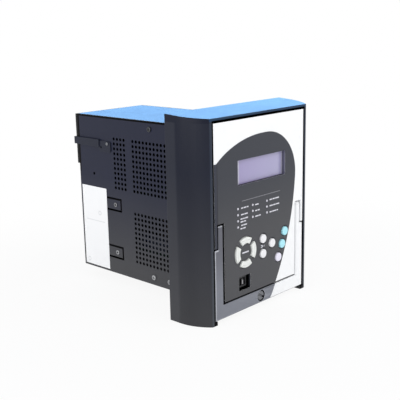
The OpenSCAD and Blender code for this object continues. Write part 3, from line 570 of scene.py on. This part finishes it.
# transformers in a row: a copper winding between two steel cheeks
coilLook = {**metalLook, "colour": (0.5, 0.24, 0.1), "cheek": (0.1, 0.1, 0.11), "start": 0.0135,
            "pitch": 0.034, "winding": (0.006, 0.024), "rough": 0.35, "grain": 2200, "bump": 0.4}
coilCopper, tree, shader = startMaterial("coilCopper", coilLook)
along = mathNode(tree, "SUBTRACT", axisValue(tree, "Y"), coilLook["start"])
turn = mathNode(tree, "FRACT", mathNode(tree, "DIVIDE", along, coilLook["pitch"]))
along = mathNode(tree, "MULTIPLY", turn, coilLook["pitch"])
wound = within(tree, along, coilLook["winding"])
addSkin(tree, shader, coilLook, mixColour(tree, wound, coilLook["cheek"], coilLook["colour"]))

# bezel: cooler and deeper towards the top, sides paler on the flat flange and where they sweep inwards, and a
# paler front rim, all painted light; a painted cool reflection on the brow above the rim;
# painted shade, black and metallic, in the seam along the handle and on the feet
bezelLook = {"colour": (0.0385, 0.039, 0.043), "upper": (0.0055, 0.0075, 0.0185), "fade": (-0.095, 0.05),
             "sideTop": 0.097, "flat": (0.0125, 0.0128, 0.0135), "flatY": (-0.0155, -0.0115),
             "sweep": (0.006, 0.0062, 0.0066), "sweepY": (-0.026, -0.042),
             "rim": (0.013, 0.019, 0.026), "rimY": -0.0455, "brow": (0.013, 0.037, 0.082), "browZ": 0.0985,
             "black": (0.002, 0.002, 0.0025), "seamX": (-0.0722, 0), "seamZ": -0.0245,
             "footX": 0.0722, "footZ": -0.0957,
             "rough": 0.31, "grain": 1500, "bump": 0.16, "drift": 0.2, "rub": 0.2,
             "rubColour": (0.06, 0.064, 0.075), "specular": 0.16}
bezelPlastic, tree, shader = startMaterial("bezelPlastic", bezelLook)
across, depth, height = (axisValue(tree, axis) for axis in "XYZ")
rise = mapRange(tree, height, *bezelLook["fade"], kind="LINEAR")
field = mixColour(tree, rise, bezelLook["colour"], bezelLook["upper"])
onSide = short(tree, height, bezelLook["sideTop"])
# painted light: paler flat flange and inward sweep
for tone in ("flat", "sweep"):
    mask = overlap(tree, onSide, mapRange(tree, depth, *bezelLook[tone + "Y"]))
    field = mixColour(tree, mask, field, bezelLook[tone], "ADD")
# painted light on the front rim, with a painted cool reflection on its brow
front = short(tree, depth, bezelLook["rimY"])
field = mixColour(tree, front, field, bezelLook["rim"], "ADD")
onBrow = overlap(tree, front, beyond(tree, height, bezelLook["browZ"]))
field = mixColour(tree, onBrow, field, bezelLook["brow"])
# painted shade in the seam along the handle and on the feet
inSeam = overlap(tree, within(tree, across, bezelLook["seamX"]), short(tree, height, bezelLook["seamZ"]))
outward = mathNode(tree, "ABSOLUTE", across)
onFoot = overlap(tree, short(tree, outward, bezelLook["footX"]), short(tree, height, bezelLook["footZ"]))
black = overlap(tree, front, either(tree, inSeam, onFoot))
addSkin(tree, shader, bezelLook, mixColour(tree, black, field, bezelLook["black"]))
tree.links.new(black, shader.inputs["Metallic"])

# the white field lies outside a large circle on the face
whiteField = {"centre": (-0.20348, 0, 0.04786), "radius": 0.26}


def onWhite(tree, shift=0):
    x, y, z = whiteField["centre"]
    return beyond(tree, flatDistance(tree, (x + shift, y, z)), whiteField["radius"])


# handle: grey front skin, darker towards the top as painted shade, with painted highlights on its left-facing
# edges, its step and its arm ends;
# painted shade, near black and metallic, behind the skin and in the fastener's recess; white in the white
# field with painted grey shade in the seam above the bar and painted shade along the lower edge
handleLook = {"colour": (0.185, 0.195, 0.228), "upper": (0.112, 0.115, 0.138), "fade": (-0.07, -0.02),
              "pale": (0.46, 0.475, 0.52), "paleTurn": (-0.1, -0.35), "paleZ": -0.0248, "armEnd": -0.0027,
              "stepX": -0.0645, "stepZ": (-0.0261, -0.02), "dark": (0.004, 0.004, 0.005), "skin": -0.0451,
              "recess": (0, 0, -0.08875), "recessR": 0.0058,
              "white": (0.91, 0.918, 0.928), "whiteShift": 0.00125,
              "seam": (0.26, 0.26, 0.27), "seamX": 0.0579, "seamZ": (-0.0826, -0.0811),
              "under": (0.30, 0.30, 0.31), "underX": (0.046, 0.064), "underY": -0.0446, "underZ": -0.0947,
              "rough": 0.38, "grain": 1300, "bump": 0.16, "drift": 0.15, "specular": 0.35,
              "rub": 0.35, "rubColour": (0.36, 0.38, 0.42)}
handleGrey, tree, shader = startMaterial("handleGrey", handleLook)
across, depth, height = (axisValue(tree, axis) for axis in "XYZ")
rise = mapRange(tree, height, *handleLook["fade"])
field = mixColour(tree, rise, handleLook["colour"], handleLook["upper"])
facing = addNode(tree, "ShaderNodeSeparateXYZ")
tree.links.new(addNode(tree, "ShaderNodeNewGeometry").outputs["Normal"], facing.inputs[0])
# painted highlights on the left-facing edges below the step, on the step and on the arm ends
wearAndHighlight = overlap(tree, mapRange(tree, facing.outputs["X"], *handleLook["paleTurn"]),
               short(tree, height, handleLook["paleZ"]))
onStep = overlap(tree, short(tree, across, handleLook["stepX"]), within(tree, height, handleLook["stepZ"]))
wearAndHighlight = either(tree, wearAndHighlight, onStep, beyond(tree, height, handleLook["armEnd"]))
field = mixColour(tree, wearAndHighlight, field, handleLook["pale"])
# painted shade behind the front skin
behind = beyond(tree, depth, handleLook["skin"])
field = mixColour(tree, behind, field, handleLook["dark"])
# painted shade in the seam above the bar and along the lower edge of the white field
inSeam = overlap(tree, behind, within(tree, height, handleLook["seamZ"]),
                 short(tree, across, handleLook["seamX"]))
white = mixColour(tree, inSeam, handleLook["white"], handleLook["seam"])
darker = mapRange(tree, across, *handleLook["underX"])
shade = mixColour(tree, darker, handleLook["under"], handleLook["dark"])
lowEdge = overlap(tree, short(tree, height, handleLook["underZ"]), short(tree, depth, handleLook["underY"]))
white = mixColour(tree, lowEdge, white, shade)
whiteMask = onWhite(tree, handleLook["whiteShift"])
field = mixColour(tree, whiteMask, field, white)
tree.links.new(overlap(tree, behind, outside(tree, whiteMask)), shader.inputs["Metallic"])
# painted shade in the fastener's recess
inRecess = short(tree, flatDistance(tree, handleLook["recess"]), handleLook["recessR"])
addSkin(tree, shader, handleLook, mixColour(tree, inRecess, field, handleLook["dark"]))

# service socket: black shell with a contact tongue in pale grey, partly its own colour and partly a painted
# highlight for its glint
socketLook = {"colour": (0.012, 0.012, 0.014), "tongue": (0.32, 0.32, 0.33), "tongueX": (-0.0263, -0.0247),
              "tongueZ": (-0.0701, -0.0655), "rough": 0.4, "grain": 1600, "bump": 0.12}
socketBlack, tree, shader = startMaterial("socketBlack", socketLook)
# pale tongue: partly its own colour, partly a painted highlight for its glint
onTongue = overlap(tree, *(within(tree, axisValue(tree, axis), socketLook["tongue" + axis]) for axis in "XZ"))
addSkin(tree, shader, socketLook, mixColour(tree, onTongue, socketLook["colour"], socketLook["tongue"]))

# front moulding: white on its front skin and round the white part of the handle; painted shade, near black
# and metallic, on its walls in its other openings and on its skirt, with painted light on a lit sill beside
# the display and on a lit wall beside the socket
plateLook = {"colour": (0.91, 0.918, 0.928), "inside": (0.006, 0.006, 0.008), "skin": -0.0455,
             "paleTop": 0.008, "outerX": 0.0692, "skirtY": -0.0412,
             "sill": (0.11, 0.11, 0.165), "sillX": (0.036, 0.0395), "sillZ": (0.0318, 0.0582),
             "wall": (0.042, 0.046, 0.058), "wallX": (-0.0175, -0.0169), "wallY": (-0.0425, -0.0441),
             "wallZ": (-0.0745, -0.0597), "rough": 0.42, "grain": 2400, "bump": 0.06, "drift": 0.05}
plateWhite, tree, shader = startMaterial("plateWhite", plateLook)
across, depth, height = (axisValue(tree, axis) for axis in "XYZ")
dark = either(tree, outside(tree, onWhite(tree)), beyond(tree, height, plateLook["paleTop"]),
              beyond(tree, across, plateLook["outerX"]), beyond(tree, depth, plateLook["skirtY"]))
onSill = overlap(tree, within(tree, across, plateLook["sillX"]), within(tree, height, plateLook["sillZ"]))
onWall = overlap(tree, within(tree, across, plateLook["wallX"]), within(tree, height, plateLook["wallZ"]),
                 mapRange(tree, depth, *plateLook["wallY"]))
# painted shade on the walls behind the front skin, with painted light on the sill and the socket wall
hidden = overlap(tree, beyond(tree, depth, plateLook["skin"]), dark)
inside = mixColour(tree, onSill, plateLook["inside"], plateLook["sill"])
inside = mixColour(tree, onWall, inside, plateLook["wall"])
addSkin(tree, shader, plateLook, mixColour(tree, hidden, plateLook["colour"], inside))
unlit = outside(tree, either(tree, onSill, onWall))
tree.links.new(overlap(tree, hidden, unlit), shader.inputs["Metallic"])

# printed film: dark field, cooler towards the top as painted cool light, with a darker ring set right of each
# round key as painted shade of its gap, a strip beside the left arm, a line between
filmLook = {"colour": (0.057, 0.058, 0.064), "upper": (0.0305, 0.034, 0.0455), "fade": (-0.03, 0.05),
            "strip": (0.022, 0.026, 0.042), "line": (0.01, 0.01, 0.016), "lineX": -0.0653,
            "lineEdge": (0.00064, 0.00024), "ring": (0.022, 0.023, 0.03), "ringR": 0.0062, "ringShift": 0.5,
            "keys": ((2, -28.1), (16.6, -35.8), (2, -43.8), (37.8, -27.6), (33.4, -40.5), (27, -53.5)),
            "rough": 0.44, "grain": 2200, "bump": 0.12, "drift": 0.1, "specular": 0.35}
filmDark, tree, shader = startMaterial("filmDark", filmLook)
across = axisValue(tree, "X")
# painted cool light, cooler towards the top
rise = mapRange(tree, axisValue(tree, "Z"), *filmLook["fade"])
away = mathNode(tree, "ABSOLUTE", mathNode(tree, "SUBTRACT", across, filmLook["lineX"]))
onLine = mapRange(tree, away, *filmLook["lineEdge"])
field = mixColour(tree, rise, filmLook["colour"], filmLook["upper"])
field = mixColour(tree, short(tree, across, filmLook["lineX"]), field, filmLook["strip"])
# painted shade of each key's gap: a darker ring set to its right
for x, z in filmLook["keys"]:
    inRing = short(tree, flatDistance(tree, mm(x + filmLook["ringShift"], 0, z)), filmLook["ringR"])
    field = mixColour(tree, inRing, field, filmLook["ring"])
addSkin(tree, shader, filmLook, mixColour(tree, onLine, field, filmLook["line"]))

# display: lavender glass over a faint dot grid, paler towards its right end, with painted highlights along
# its left and right edges
glassLook = {"colour": (0.335, 0.295, 0.515), "pale": (0.37, 0.355, 0.545), "rim": (0.47, 0.46, 0.58),
             "left": -0.0290, "right": 0.0371, "rimSoft": 0.0003,
             "grid": (0.34, 0.32, 0.48), "pitch": 0.0006, "gridEdge": (0.38, 0.48), "gridAmount": 0.18,
             "rough": 0.16, "grain": 600, "bump": 0.02, "drift": 0.1, "coat": 0.6, "coatRough": 0.06,
             "marks": 0.05}
displayGlass, tree, shader = startMaterial("displayGlass", glassLook)
across, height = axisValue(tree, "X"), axisValue(tree, "Z")
left, right, rimSoft = (glassLook[key] for key in ("left", "right", "rimSoft"))
fade = mapRange(tree, across, left, right, kind="LINEAR")
field = mixColour(tree, fade, glassLook["colour"], glassLook["pale"])
cells = []
for value in (across, height):
    step = mathNode(tree, "FRACT", mathNode(tree, "DIVIDE", value, glassLook["pitch"]))
    step = mathNode(tree, "ABSOLUTE", mathNode(tree, "SUBTRACT", step, 0.5))
    cells.append(mapRange(tree, step, *glassLook["gridEdge"]))
onGrid = mathNode(tree, "MULTIPLY", either(tree, *cells), glassLook["gridAmount"])
field = mixColour(tree, onGrid, field, glassLook["grid"])
# painted highlights along the left and right edges
onRim = either(tree, mapRange(tree, across, left + rimSoft, left - rimSoft),
               mapRange(tree, across, right - rimSoft, right + rimSoft))
addSkin(tree, shader, glassLook, mixColour(tree, onRim, field, glassLook["rim"]))

# lamp lens: milky lilac
lensLook = {"colour": (0.60, 0.59, 0.66), "rough": 0.22, "grain": 900, "bump": 0.05,
            "coat": 0.7, "coatRough": 0.1}
lampLens = skinMaterial("lampLens", lensLook)

# label: white stock with a faint rule and two faint round marks
labelLook = {"colour": (0.88, 0.885, 0.89), "print": (0.66, 0.67, 0.68), "strength": 0.75,
             "ruleZ": -0.0322, "ruleEdge": (0.0007, 0.0003), "ruleY": (0.140, 0.1726), "endSoft": 0.0003,
             "spots": ((0.1482, -0.0224), (0.1711, -0.0804)), "spotOuter": (0.0030, 0.0024),
             "spotInner": (0.0012, 0.0018), "rough": 0.5, "grain": 1500, "bump": 0.1, "drift": 0.06}
labelStock, tree, shader = startMaterial("labelStock", labelLook)
along, height = axisValue(tree, "Y"), axisValue(tree, "Z")
away = mathNode(tree, "ABSOLUTE", mathNode(tree, "SUBTRACT", height, labelLook["ruleZ"]))
inked = mapRange(tree, away, *labelLook["ruleEdge"])
for edge, soft in zip(labelLook["ruleY"], (labelLook["endSoft"], -labelLook["endSoft"])):
    inked = overlap(tree, inked, mapRange(tree, along, edge - soft, edge + soft))
flatPlace = addNode(tree, "ShaderNodeCombineXYZ")
tree.links.new(along, flatPlace.inputs["Y"])
tree.links.new(height, flatPlace.inputs["Z"])
for spotY, spotZ in labelLook["spots"]:
    spot = addNode(tree, "ShaderNodeVectorMath", operation="DISTANCE")
    tree.links.new(flatPlace.outputs[0], spot.inputs[0])
    spot.inputs[1].default_value = (0, spotY, spotZ)
    ring = overlap(tree, mapRange(tree, spot.outputs["Value"], *labelLook["spotOuter"]),
                   mapRange(tree, spot.outputs["Value"], *labelLook["spotInner"]))
    inked = either(tree, inked, ring)
inked = mathNode(tree, "MULTIPLY", inked, labelLook["strength"])
addSkin(tree, shader, labelLook, mixColour(tree, inked, labelLook["colour"], labelLook["print"]))
print("finishes made")

nodeFinish = {  # finish of each CAD node
    "bezel": bezelPlastic, "case_side_left": sidePaint, "case_side_right": sidePaint, "case_top": casePaint,
    "case_bottom": casePaint, "rear_panel": casePaint, "upper_terminal_block": blockPlastic,
    "lower_terminal_blocks": blockPlastic, "terminal_screws": zincSteel, "strap_left": strapSteel,
    "strap_right": strapSteel, "strap_screws": dullSteel, "side_label": labelStock, "case_screws": zincSteel,
    "rail_rivets": zincSteel, "guide_rails": railNylon, "lip_screws": zincSteel, "latch_bracket": zincSteel,
    "latch_bush": brassTurned, "earth_stud": brassTurned, "rear_sockets": blockPlastic,
    "front_plate": plateWhite, "face_film": filmDark, "lcd_window": displayGlass, "lcd_module": frameGrey,
    "lamp_lenses": lampLens, "front_board": boardGreen, "board_screws": zincSteel, "keypad_mat": matRubber,
    "port_socket": socketBlack, "handle_pins": zincSteel, "chassis_front": zincSteel, "upper_tray": zincSteel,
    "lower_tray": zincSteel, "main_board": boardParts, "io_board": boardGreen, "board_standoffs": brassTurned,
    "output_relays": relayBlue, "transformers": coilCopper, "rear_plugs": blockPlastic,
    "handle": handleGrey, "handle_film": filmWhite, "latch_screw": dullSteel,
    "key_right": keyPale, "key_up": keyPale, "key_left": keyPale, "key_down": keyPale,
    "key_1": keyWhite, "key_2": keyWhite, "key_3": keyWhite,
    "key_4": keyCyan, "key_5": keyCyan, "key_6": keyLilac,
}
for name, material in nodeFinish.items():
    slots = nodes[name].data.materials
    if not slots:
        slots.append(material)
    for i in range(len(slots)):
        slots[i] = material
print("CAD nodes dressed")

# bezel, straps, blocks, relays, plugs, latch head and pins: the same solids with their edges rounded

softEdges = {  # node: piece, body, finish, slot, width in mm, steps, and whether flat faces are merged
    "bezel": ("bezelHood", "case", bezelPlastic, "bezel_plastic", 0.6, 3),
    "strap_left": ("strapLeft", "case", strapSteel, "strap_steel", 0.25, 2),
    "strap_right": ("strapRight", "case", strapSteel, "strap_steel", 0.25, 2),
    "upper_terminal_block": ("upperBlock", "case", blockPlastic, "terminal_plastic", 0.3, 2, False),
    "lower_terminal_blocks": ("lowerBlocks", "case", blockPlastic, "terminal_plastic", 0.3, 2),
    "output_relays": ("relayCans", "drawout", relayBlue, "relay_blue", 0.6, 3),
    "latch_screw": ("latchHead", "latch", dullSteel, "zinc_steel", 0.4, 3),
    "strap_screws": ("strapPins", "case", dullSteel, "zinc_steel", 0.25, 2),
    "rear_plugs": ("plugBodies", "drawout", blockPlastic, "terminal_plastic", 0.4, 2),
    "rear_sockets": ("socketBodies", "case", blockPlastic, "terminal_plastic", 0.4, 2),
}
for node, values in softEdges.items():
    softCopy(node, *values)
print("soft edges:", len(softEdges), "pieces")


# handle: a full round along the outline of its front and a fine one elsewhere,
# with its white film drawn in to suit

handleShape = {"front": -45.7, "round": 1.1, "steps": 4, "fine": 0.35, "fineSteps": 2, "speck": 0.002,
               "recessZ": -88.75, "recessR": 6.6, "endZ": -3.0, "endY": -43.9,
               "armIn": 57.5, "slant": 0.5, "filmTop": -10, "filmIn": 1.0, "filmShift": 1.25}
handleFrame = nodeCopy("handle", "handleFrame")


def onFrontOutline(a, b):  # front edges of bar and arms, round the arm ends too
    middle = (a + b) / 2
    if math.hypot(middle.x, middle.z - handleShape["recessZ"] / 1000) < handleShape["recessR"] / 1000:
        return False
    level, endZ, endY = (handleShape[key] / 1000 for key in ("front", "endZ", "endY"))
    flat = abs(a.y - level) < near and abs(b.y - level) < near and abs(middle.z - endZ) > near
    curved = abs(a.x - b.x) < near and min(a.z, b.z) > endZ - near and max(a.y, b.y) < endY + near
    return flat or curved


pickEdges(handleFrame, onFrontOutline)
bpy.ops.mesh.bevel(offset=handleShape["round"] / 1000, segments=handleShape["steps"], affect="EDGES")
backToObject()
smooth(handleFrame)
roundEdges(handleFrame, handleShape["fine"], handleShape["fineSteps"])
pickAll(handleFrame)
bpy.ops.mesh.dissolve_degenerate(threshold=handleShape["speck"] / 1000)
backToObject()
centres = [face.center.to_tuple(7) for face in handleFrame.data.polygons]
pickFaces(handleFrame, lambda c, n: centres.count(c.to_tuple(7)) > 1)  # faces that lie back to back
bpy.ops.mesh.delete(type="FACE")
backToObject()
dress(handleFrame, "handle", handleGrey)
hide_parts("handle")
handleSkin = nodeCopy("handle_film", "handleSkin")
inward, endShift, slant = (handleShape[key] for key in ("filmIn", "filmShift", "slant"))
armIn, filmTop = (handleShape[key] / 1000 for key in ("armIn", "filmTop"))
for side, move in (
        (lambda c, n: n.z < -square, (0, 0, inward)),
        (lambda c, n: n.z > square and c.z < filmTop, (0, 0, -inward)),
        (lambda c, n: n.x > square, (-inward, 0, 0)),
        (lambda c, n: n.x < -square and c.x > armIn, (inward, 0, 0)),
        (lambda c, n: n.x < -slant and c.x < armIn, (endShift, 0, 0))):
    pickFaces(handleSkin, side)
    bpy.ops.transform.translate(value=mm(*move))
    backToObject()
dress(handleSkin, "handle", filmWhite)
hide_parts("handle_film")
print("handle rounded")


# keys: caps with a rounded front rim

keyShape = {"front": -47.6, "rim": 0.9, "steps": 4}
for node in [n for n in nodes if n.startswith("key_")]:
    cap = nodeCopy(node, node.replace("_", "") + "Cap")
    roundRim(cap, "y", keyShape["front"], keyShape["rim"], keyShape["steps"])
    smooth(cap)
    dress(cap, node + "_cap", nodeFinish[node])
    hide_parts(node)
print("keys rounded")


# lamps: lenses drawn out into low domes

lensShape = {"front": -46.0, "raise": 0.5, "dome": 0.75, "steps": 5, "smooth": 50}
lenses = nodeCopy("lamp_lenses", "lampDomes")
pickFaces(lenses, lambda c, n: n.y < -square and abs(c.y - lensShape["front"] / 1000) < near)
bpy.ops.transform.translate(value=mm(0, -lensShape["raise"], 0))
backToObject()
roundRim(lenses, "y", lensShape["front"] - lensShape["raise"], lensShape["dome"], lensShape["steps"])
smooth(lenses, lensShape["smooth"])
dress(lenses, "drawout", lampLens)
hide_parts("lamp_lenses")
print("lamps domed")


# cross-recess pan-head screws

screwShape = {"head": 5.6, "height": 1.4, "sides": 40, "crown": 0.7, "crownSteps": 5,
              "cross": (3.2, 0.8), "deep": 0.85, "shank": 3.0, "shankSides": 24, "tip": 0.3, "tipSteps": 2}


def makeScrew(look, length):  # stands on z = 0 with its head up
    head = addRod(look["head"], 0, look["height"], look["sides"])
    roundRim(head, "z", look["height"], look["crown"], look["crownSteps"])
    long, wide = look["cross"]
    low, high = look["height"] - look["deep"], look["height"] + 1  # the cutters stand clear of the crown
    cutAway(head, addSlab((-long / 2, -wide / 2, low), (long / 2, wide / 2, high)))
    cutAway(head, addSlab((-wide / 2, -long / 2, low), (wide / 2, long / 2, high)))
    shank = addRod(look["shank"], -length, 0, look["shankSides"])
    roundRim(shank, "z", -length, look["tip"], look["tipSteps"])
    return joinPieces([head, shank], "screwPattern")


def setScrews(name, node, body, pattern, places):
    screws = joinPieces([copyAt(pattern, place, turn) for place, turn in places], name)
    bpy.data.objects.remove(pattern, do_unlink=True)
    smooth(screws)
    dress(screws, body, screwSteel)
    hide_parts(node)


caseScrewPlaces = {"length": 3.4, "side": 49.5, "rows": ((61.5, 80, 20), (61.5, -80, 65), (37.3, -80, 40))}
setScrews("caseScrewHeads", "case_screws", "case", makeScrew(screwShape, caseScrewPlaces["length"]),
          [((s * caseScrewPlaces["side"], y, z), (0, s * 90, spin))
           for s in (-1, 1) for y, z, spin in caseScrewPlaces["rows"]])
lipScrewPlaces = {"height": 1.8, "length": 4.6, "columns": ((-30, 5), (30, 55)), "up": 93, "front": -5.2}
lipScrew = makeScrew({**screwShape, "height": lipScrewPlaces["height"]}, lipScrewPlaces["length"])
setScrews("lipScrewHeads", "lip_screws", "case", lipScrew,
          [((x, lipScrewPlaces["front"], s * lipScrewPlaces["up"]), (90, 0, spin))
           for x, spin in lipScrewPlaces["columns"] for s in (-1, 1)])


# tubular rivets of the guide rails

rivetShape = {"head": 5.0, "height": 0.8, "sides": 40, "rim": 0.35, "rimSteps": 3, "topBand": 0.01,
              "hollow": 2.4, "sink": 0.7, "shank": 3.0, "length": 2.6, "shankSides": 24,
              "side": 49.5, "place": 120, "rows": (-8.5, -63.4)}
rivet = addRod(rivetShape["head"], 0, rivetShape["height"], rivetShape["sides"])
roundRim(rivet, "z", rivetShape["height"], rivetShape["rim"], rivetShape["rimSteps"])
pickFaces(rivet, lambda c, n: n.z > square and c.z > (rivetShape["height"] - rivetShape["topBand"]) / 1000)
flat = (rivetShape["head"] - 2 * rivetShape["rim"] - rivetShape["hollow"]) / 2
bpy.ops.mesh.inset(thickness=flat / 1000)
bpy.ops.mesh.extrude_region_move(TRANSFORM_OT_translate={"value": mm(0, 0, -rivetShape["sink"])})
backToObject()
shank = addRod(rivetShape["shank"], -rivetShape["length"], 0, rivetShape["shankSides"])
rivet = joinPieces([rivet, shank], "rivetPattern")
rivetPlaces = [((s * rivetShape["side"], rivetShape["place"], z), (0, s * 90, 0))
               for s in (-1, 1) for z in rivetShape["rows"]]
rivets = joinPieces([copyAt(rivet, place, turn) for place, turn in rivetPlaces], "railRivetHeads")
bpy.data.objects.remove(rivet, do_unlink=True)
smooth(rivets)
dress(rivets, "case", screwSteel)
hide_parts("rail_rivets")

# painted shade: a dark disc on the floor of each rivet's hollow, standing for the shade inside it
wellShape = {"diameter": 2.352, "thick": 0.2, "sides": 24, "rim": 0.08, "rimSteps": 2}
wellLow = rivetShape["height"] - rivetShape["sink"]
wellTop = wellLow + wellShape["thick"]
well = addRod(wellShape["diameter"], wellLow, wellTop, wellShape["sides"])
roundRim(well, "z", wellTop, wellShape["rim"], wellShape["rimSteps"])
wells = joinPieces([copyAt(well, place, turn) for place, turn in rivetPlaces], "rivetWells")
bpy.data.objects.remove(well, do_unlink=True)
dress(wells, "case", darkHole)
print("screws and rivets set")


# printed marks: rows of plain short strokes, and the rule above the lamps

legendShape = {"face": -46.0, "lift": 0.05, "height": 1.25, "gap": 0.7, "round": 0.3, "steps": 3}
legendRows = (  # left end, height, lengths of the strokes in a row
    (-31.4, 9.9, (3.0, 4.2, 2.6)), (-31.6, 3.4, (4.4, 5.0)), (-32.4, -0.9, (3.4, 2.2, 4.4)),
    (-32.4, -3.8, (4.6, 2.8)), (-31.4, -7.4, (2.6, 5.4)), (-32.6, -10.6, (3.2, 4.0)),
    (-9.9, 9.4, (5.4,)), (-9.9, 3.3, (3.0, 3.4)), (-9.9, -2.5, (5.2, 2.8)),
    (12.9, 10.3, (4.2, 3.6, 6.4)), (12.9, 3.9, (5.4, 4.0, 5.2)), (12.9, -2.6, (3.8, 6.2, 2.6)),
)


def addStroke(x0, x1, z, height, turn=0):
    half, face = (x1 - x0) / 2, legendShape["face"]
    stroke = addSlab((-half, face - legendShape["lift"], -height / 2), (half, face, height / 2))
    corner = legendShape["round"] * height / legendShape["height"]
    pickEdges(stroke, lambda a, b: abs(a.y - b.y) > near)
    bpy.ops.mesh.bevel(offset=corner / 1000, segments=legendShape["steps"], affect="EDGES")
    backToObject()
    stroke.rotation_euler = (0, math.radians(turn), 0)
    stroke.location = mm((x0 + x1) / 2, 0, z)
    settle(stroke)
    return stroke


strokes = []
for left, z, lengths in legendRows:
    for length in lengths:
        strokes.append(addStroke(left, left + length, z, legendShape["height"]))
        left += length + legendShape["gap"]
dress(joinPieces(strokes, "lampLegends"), "drawout", legendPrint)

faceRule = {"left": -30.1, "right": 29.9, "z": 16.8, "height": 0.4}
rule = [addStroke(faceRule["left"], faceRule["right"], faceRule["z"], faceRule["height"])]
dress(joinPieces(rule, "headRule"), "drawout", faintPrint)

keyMarks = {"ring": (-30.2, -20.2, -36.0, 1.5), "cross": (-1.0, 4.8, -36.0, 0.9), "apart": 0.35, "turn": 16}
marks = [addStroke(*keyMarks["ring"])]
x0, x1, z, height = keyMarks["cross"]
marks += [addStroke(x0, x1, z + s * keyMarks["apart"], height, s * keyMarks["turn"]) for s in (-1, 1)]
dress(joinPieces(marks, "keyMarks"), "drawout", legendPrint)
print("printed marks set")


# world and floor

def seenDirectly(tree):  # 1 for camera rays and for what mirrors or lets them through
    paths = addNode(tree, "ShaderNodeLightPath")
    return either(tree, *(paths.outputs[f"Is {kind} Ray"] for kind in ("Camera", "Glossy", "Transmission")))


world = bpy.data.worlds.new("studioWorld")
bpy.context.scene.world = world
world.use_nodes = True
tree = world.node_tree
back = tree.nodes["Background"]
split = addNode(tree, "ShaderNodeSeparateXYZ")
tree.links.new(addNode(tree, "ShaderNodeTexCoord").outputs["Generated"], split.inputs[0])
rise = mapRange(tree, split.outputs["Z"], *studio["skyRise"])
skyColour = mixColour(tree, rise, studio["skyLow"], studio["skyHigh"])
tree.links.new(mixColour(tree, seenDirectly(tree), skyColour, (1, 1, 1)), back.inputs["Color"])

floorLook = {"colour": (0.9, 0.9, 0.9), "rough": 0.9, "size": 30, "glow": (0.91, 1.0), "reach": (0.25, 0.55)}
clearSelection()
bpy.ops.mesh.primitive_plane_add(size=floorLook["size"], location=(0, 0, cadBox[0][2]))
floor = bpy.context.object
floor.name = "studioFloor"
settle(floor)
floorPaint = bpy.data.materials.new("floorPaint")
floorPaint.use_nodes = True
tree = floorPaint.node_tree
matte = tree.nodes["Principled BSDF"]
matte.inputs["Base Color"].default_value = (*floorLook["colour"], 1)
matte.inputs["Roughness"].default_value = floorLook["rough"]
glow = addNode(tree, "ShaderNodeEmission")
reach = addNode(tree, "ShaderNodeVectorMath", operation="LENGTH")
tree.links.new(objectPlace(tree), reach.inputs[0])
fade = mapRange(tree, reach.outputs["Value"], *floorLook["reach"], *floorLook["glow"])
share = addNode(tree, "ShaderNodeMixShader")
tree.links.new(overlap(tree, seenDirectly(tree), fade), share.inputs[0])
tree.links.new(matte.outputs[0], share.inputs[1])
tree.links.new(glow.outputs[0], share.inputs[2])
tree.links.new(share.outputs[0], tree.nodes["Material Output"].inputs["Surface"])
floor.data.materials.append(floorPaint)

# the cool lamp lights only what shows its reflection
coolGroup = bpy.data.collections.new("coolLit")
for obj in (bpy.data.objects["bezelHood"], nodes["case_top"]):
    coolGroup.objects.link(obj)
bpy.data.objects["coolLight"].light_linking.receiver_collection = coolGroup
print("studio set")
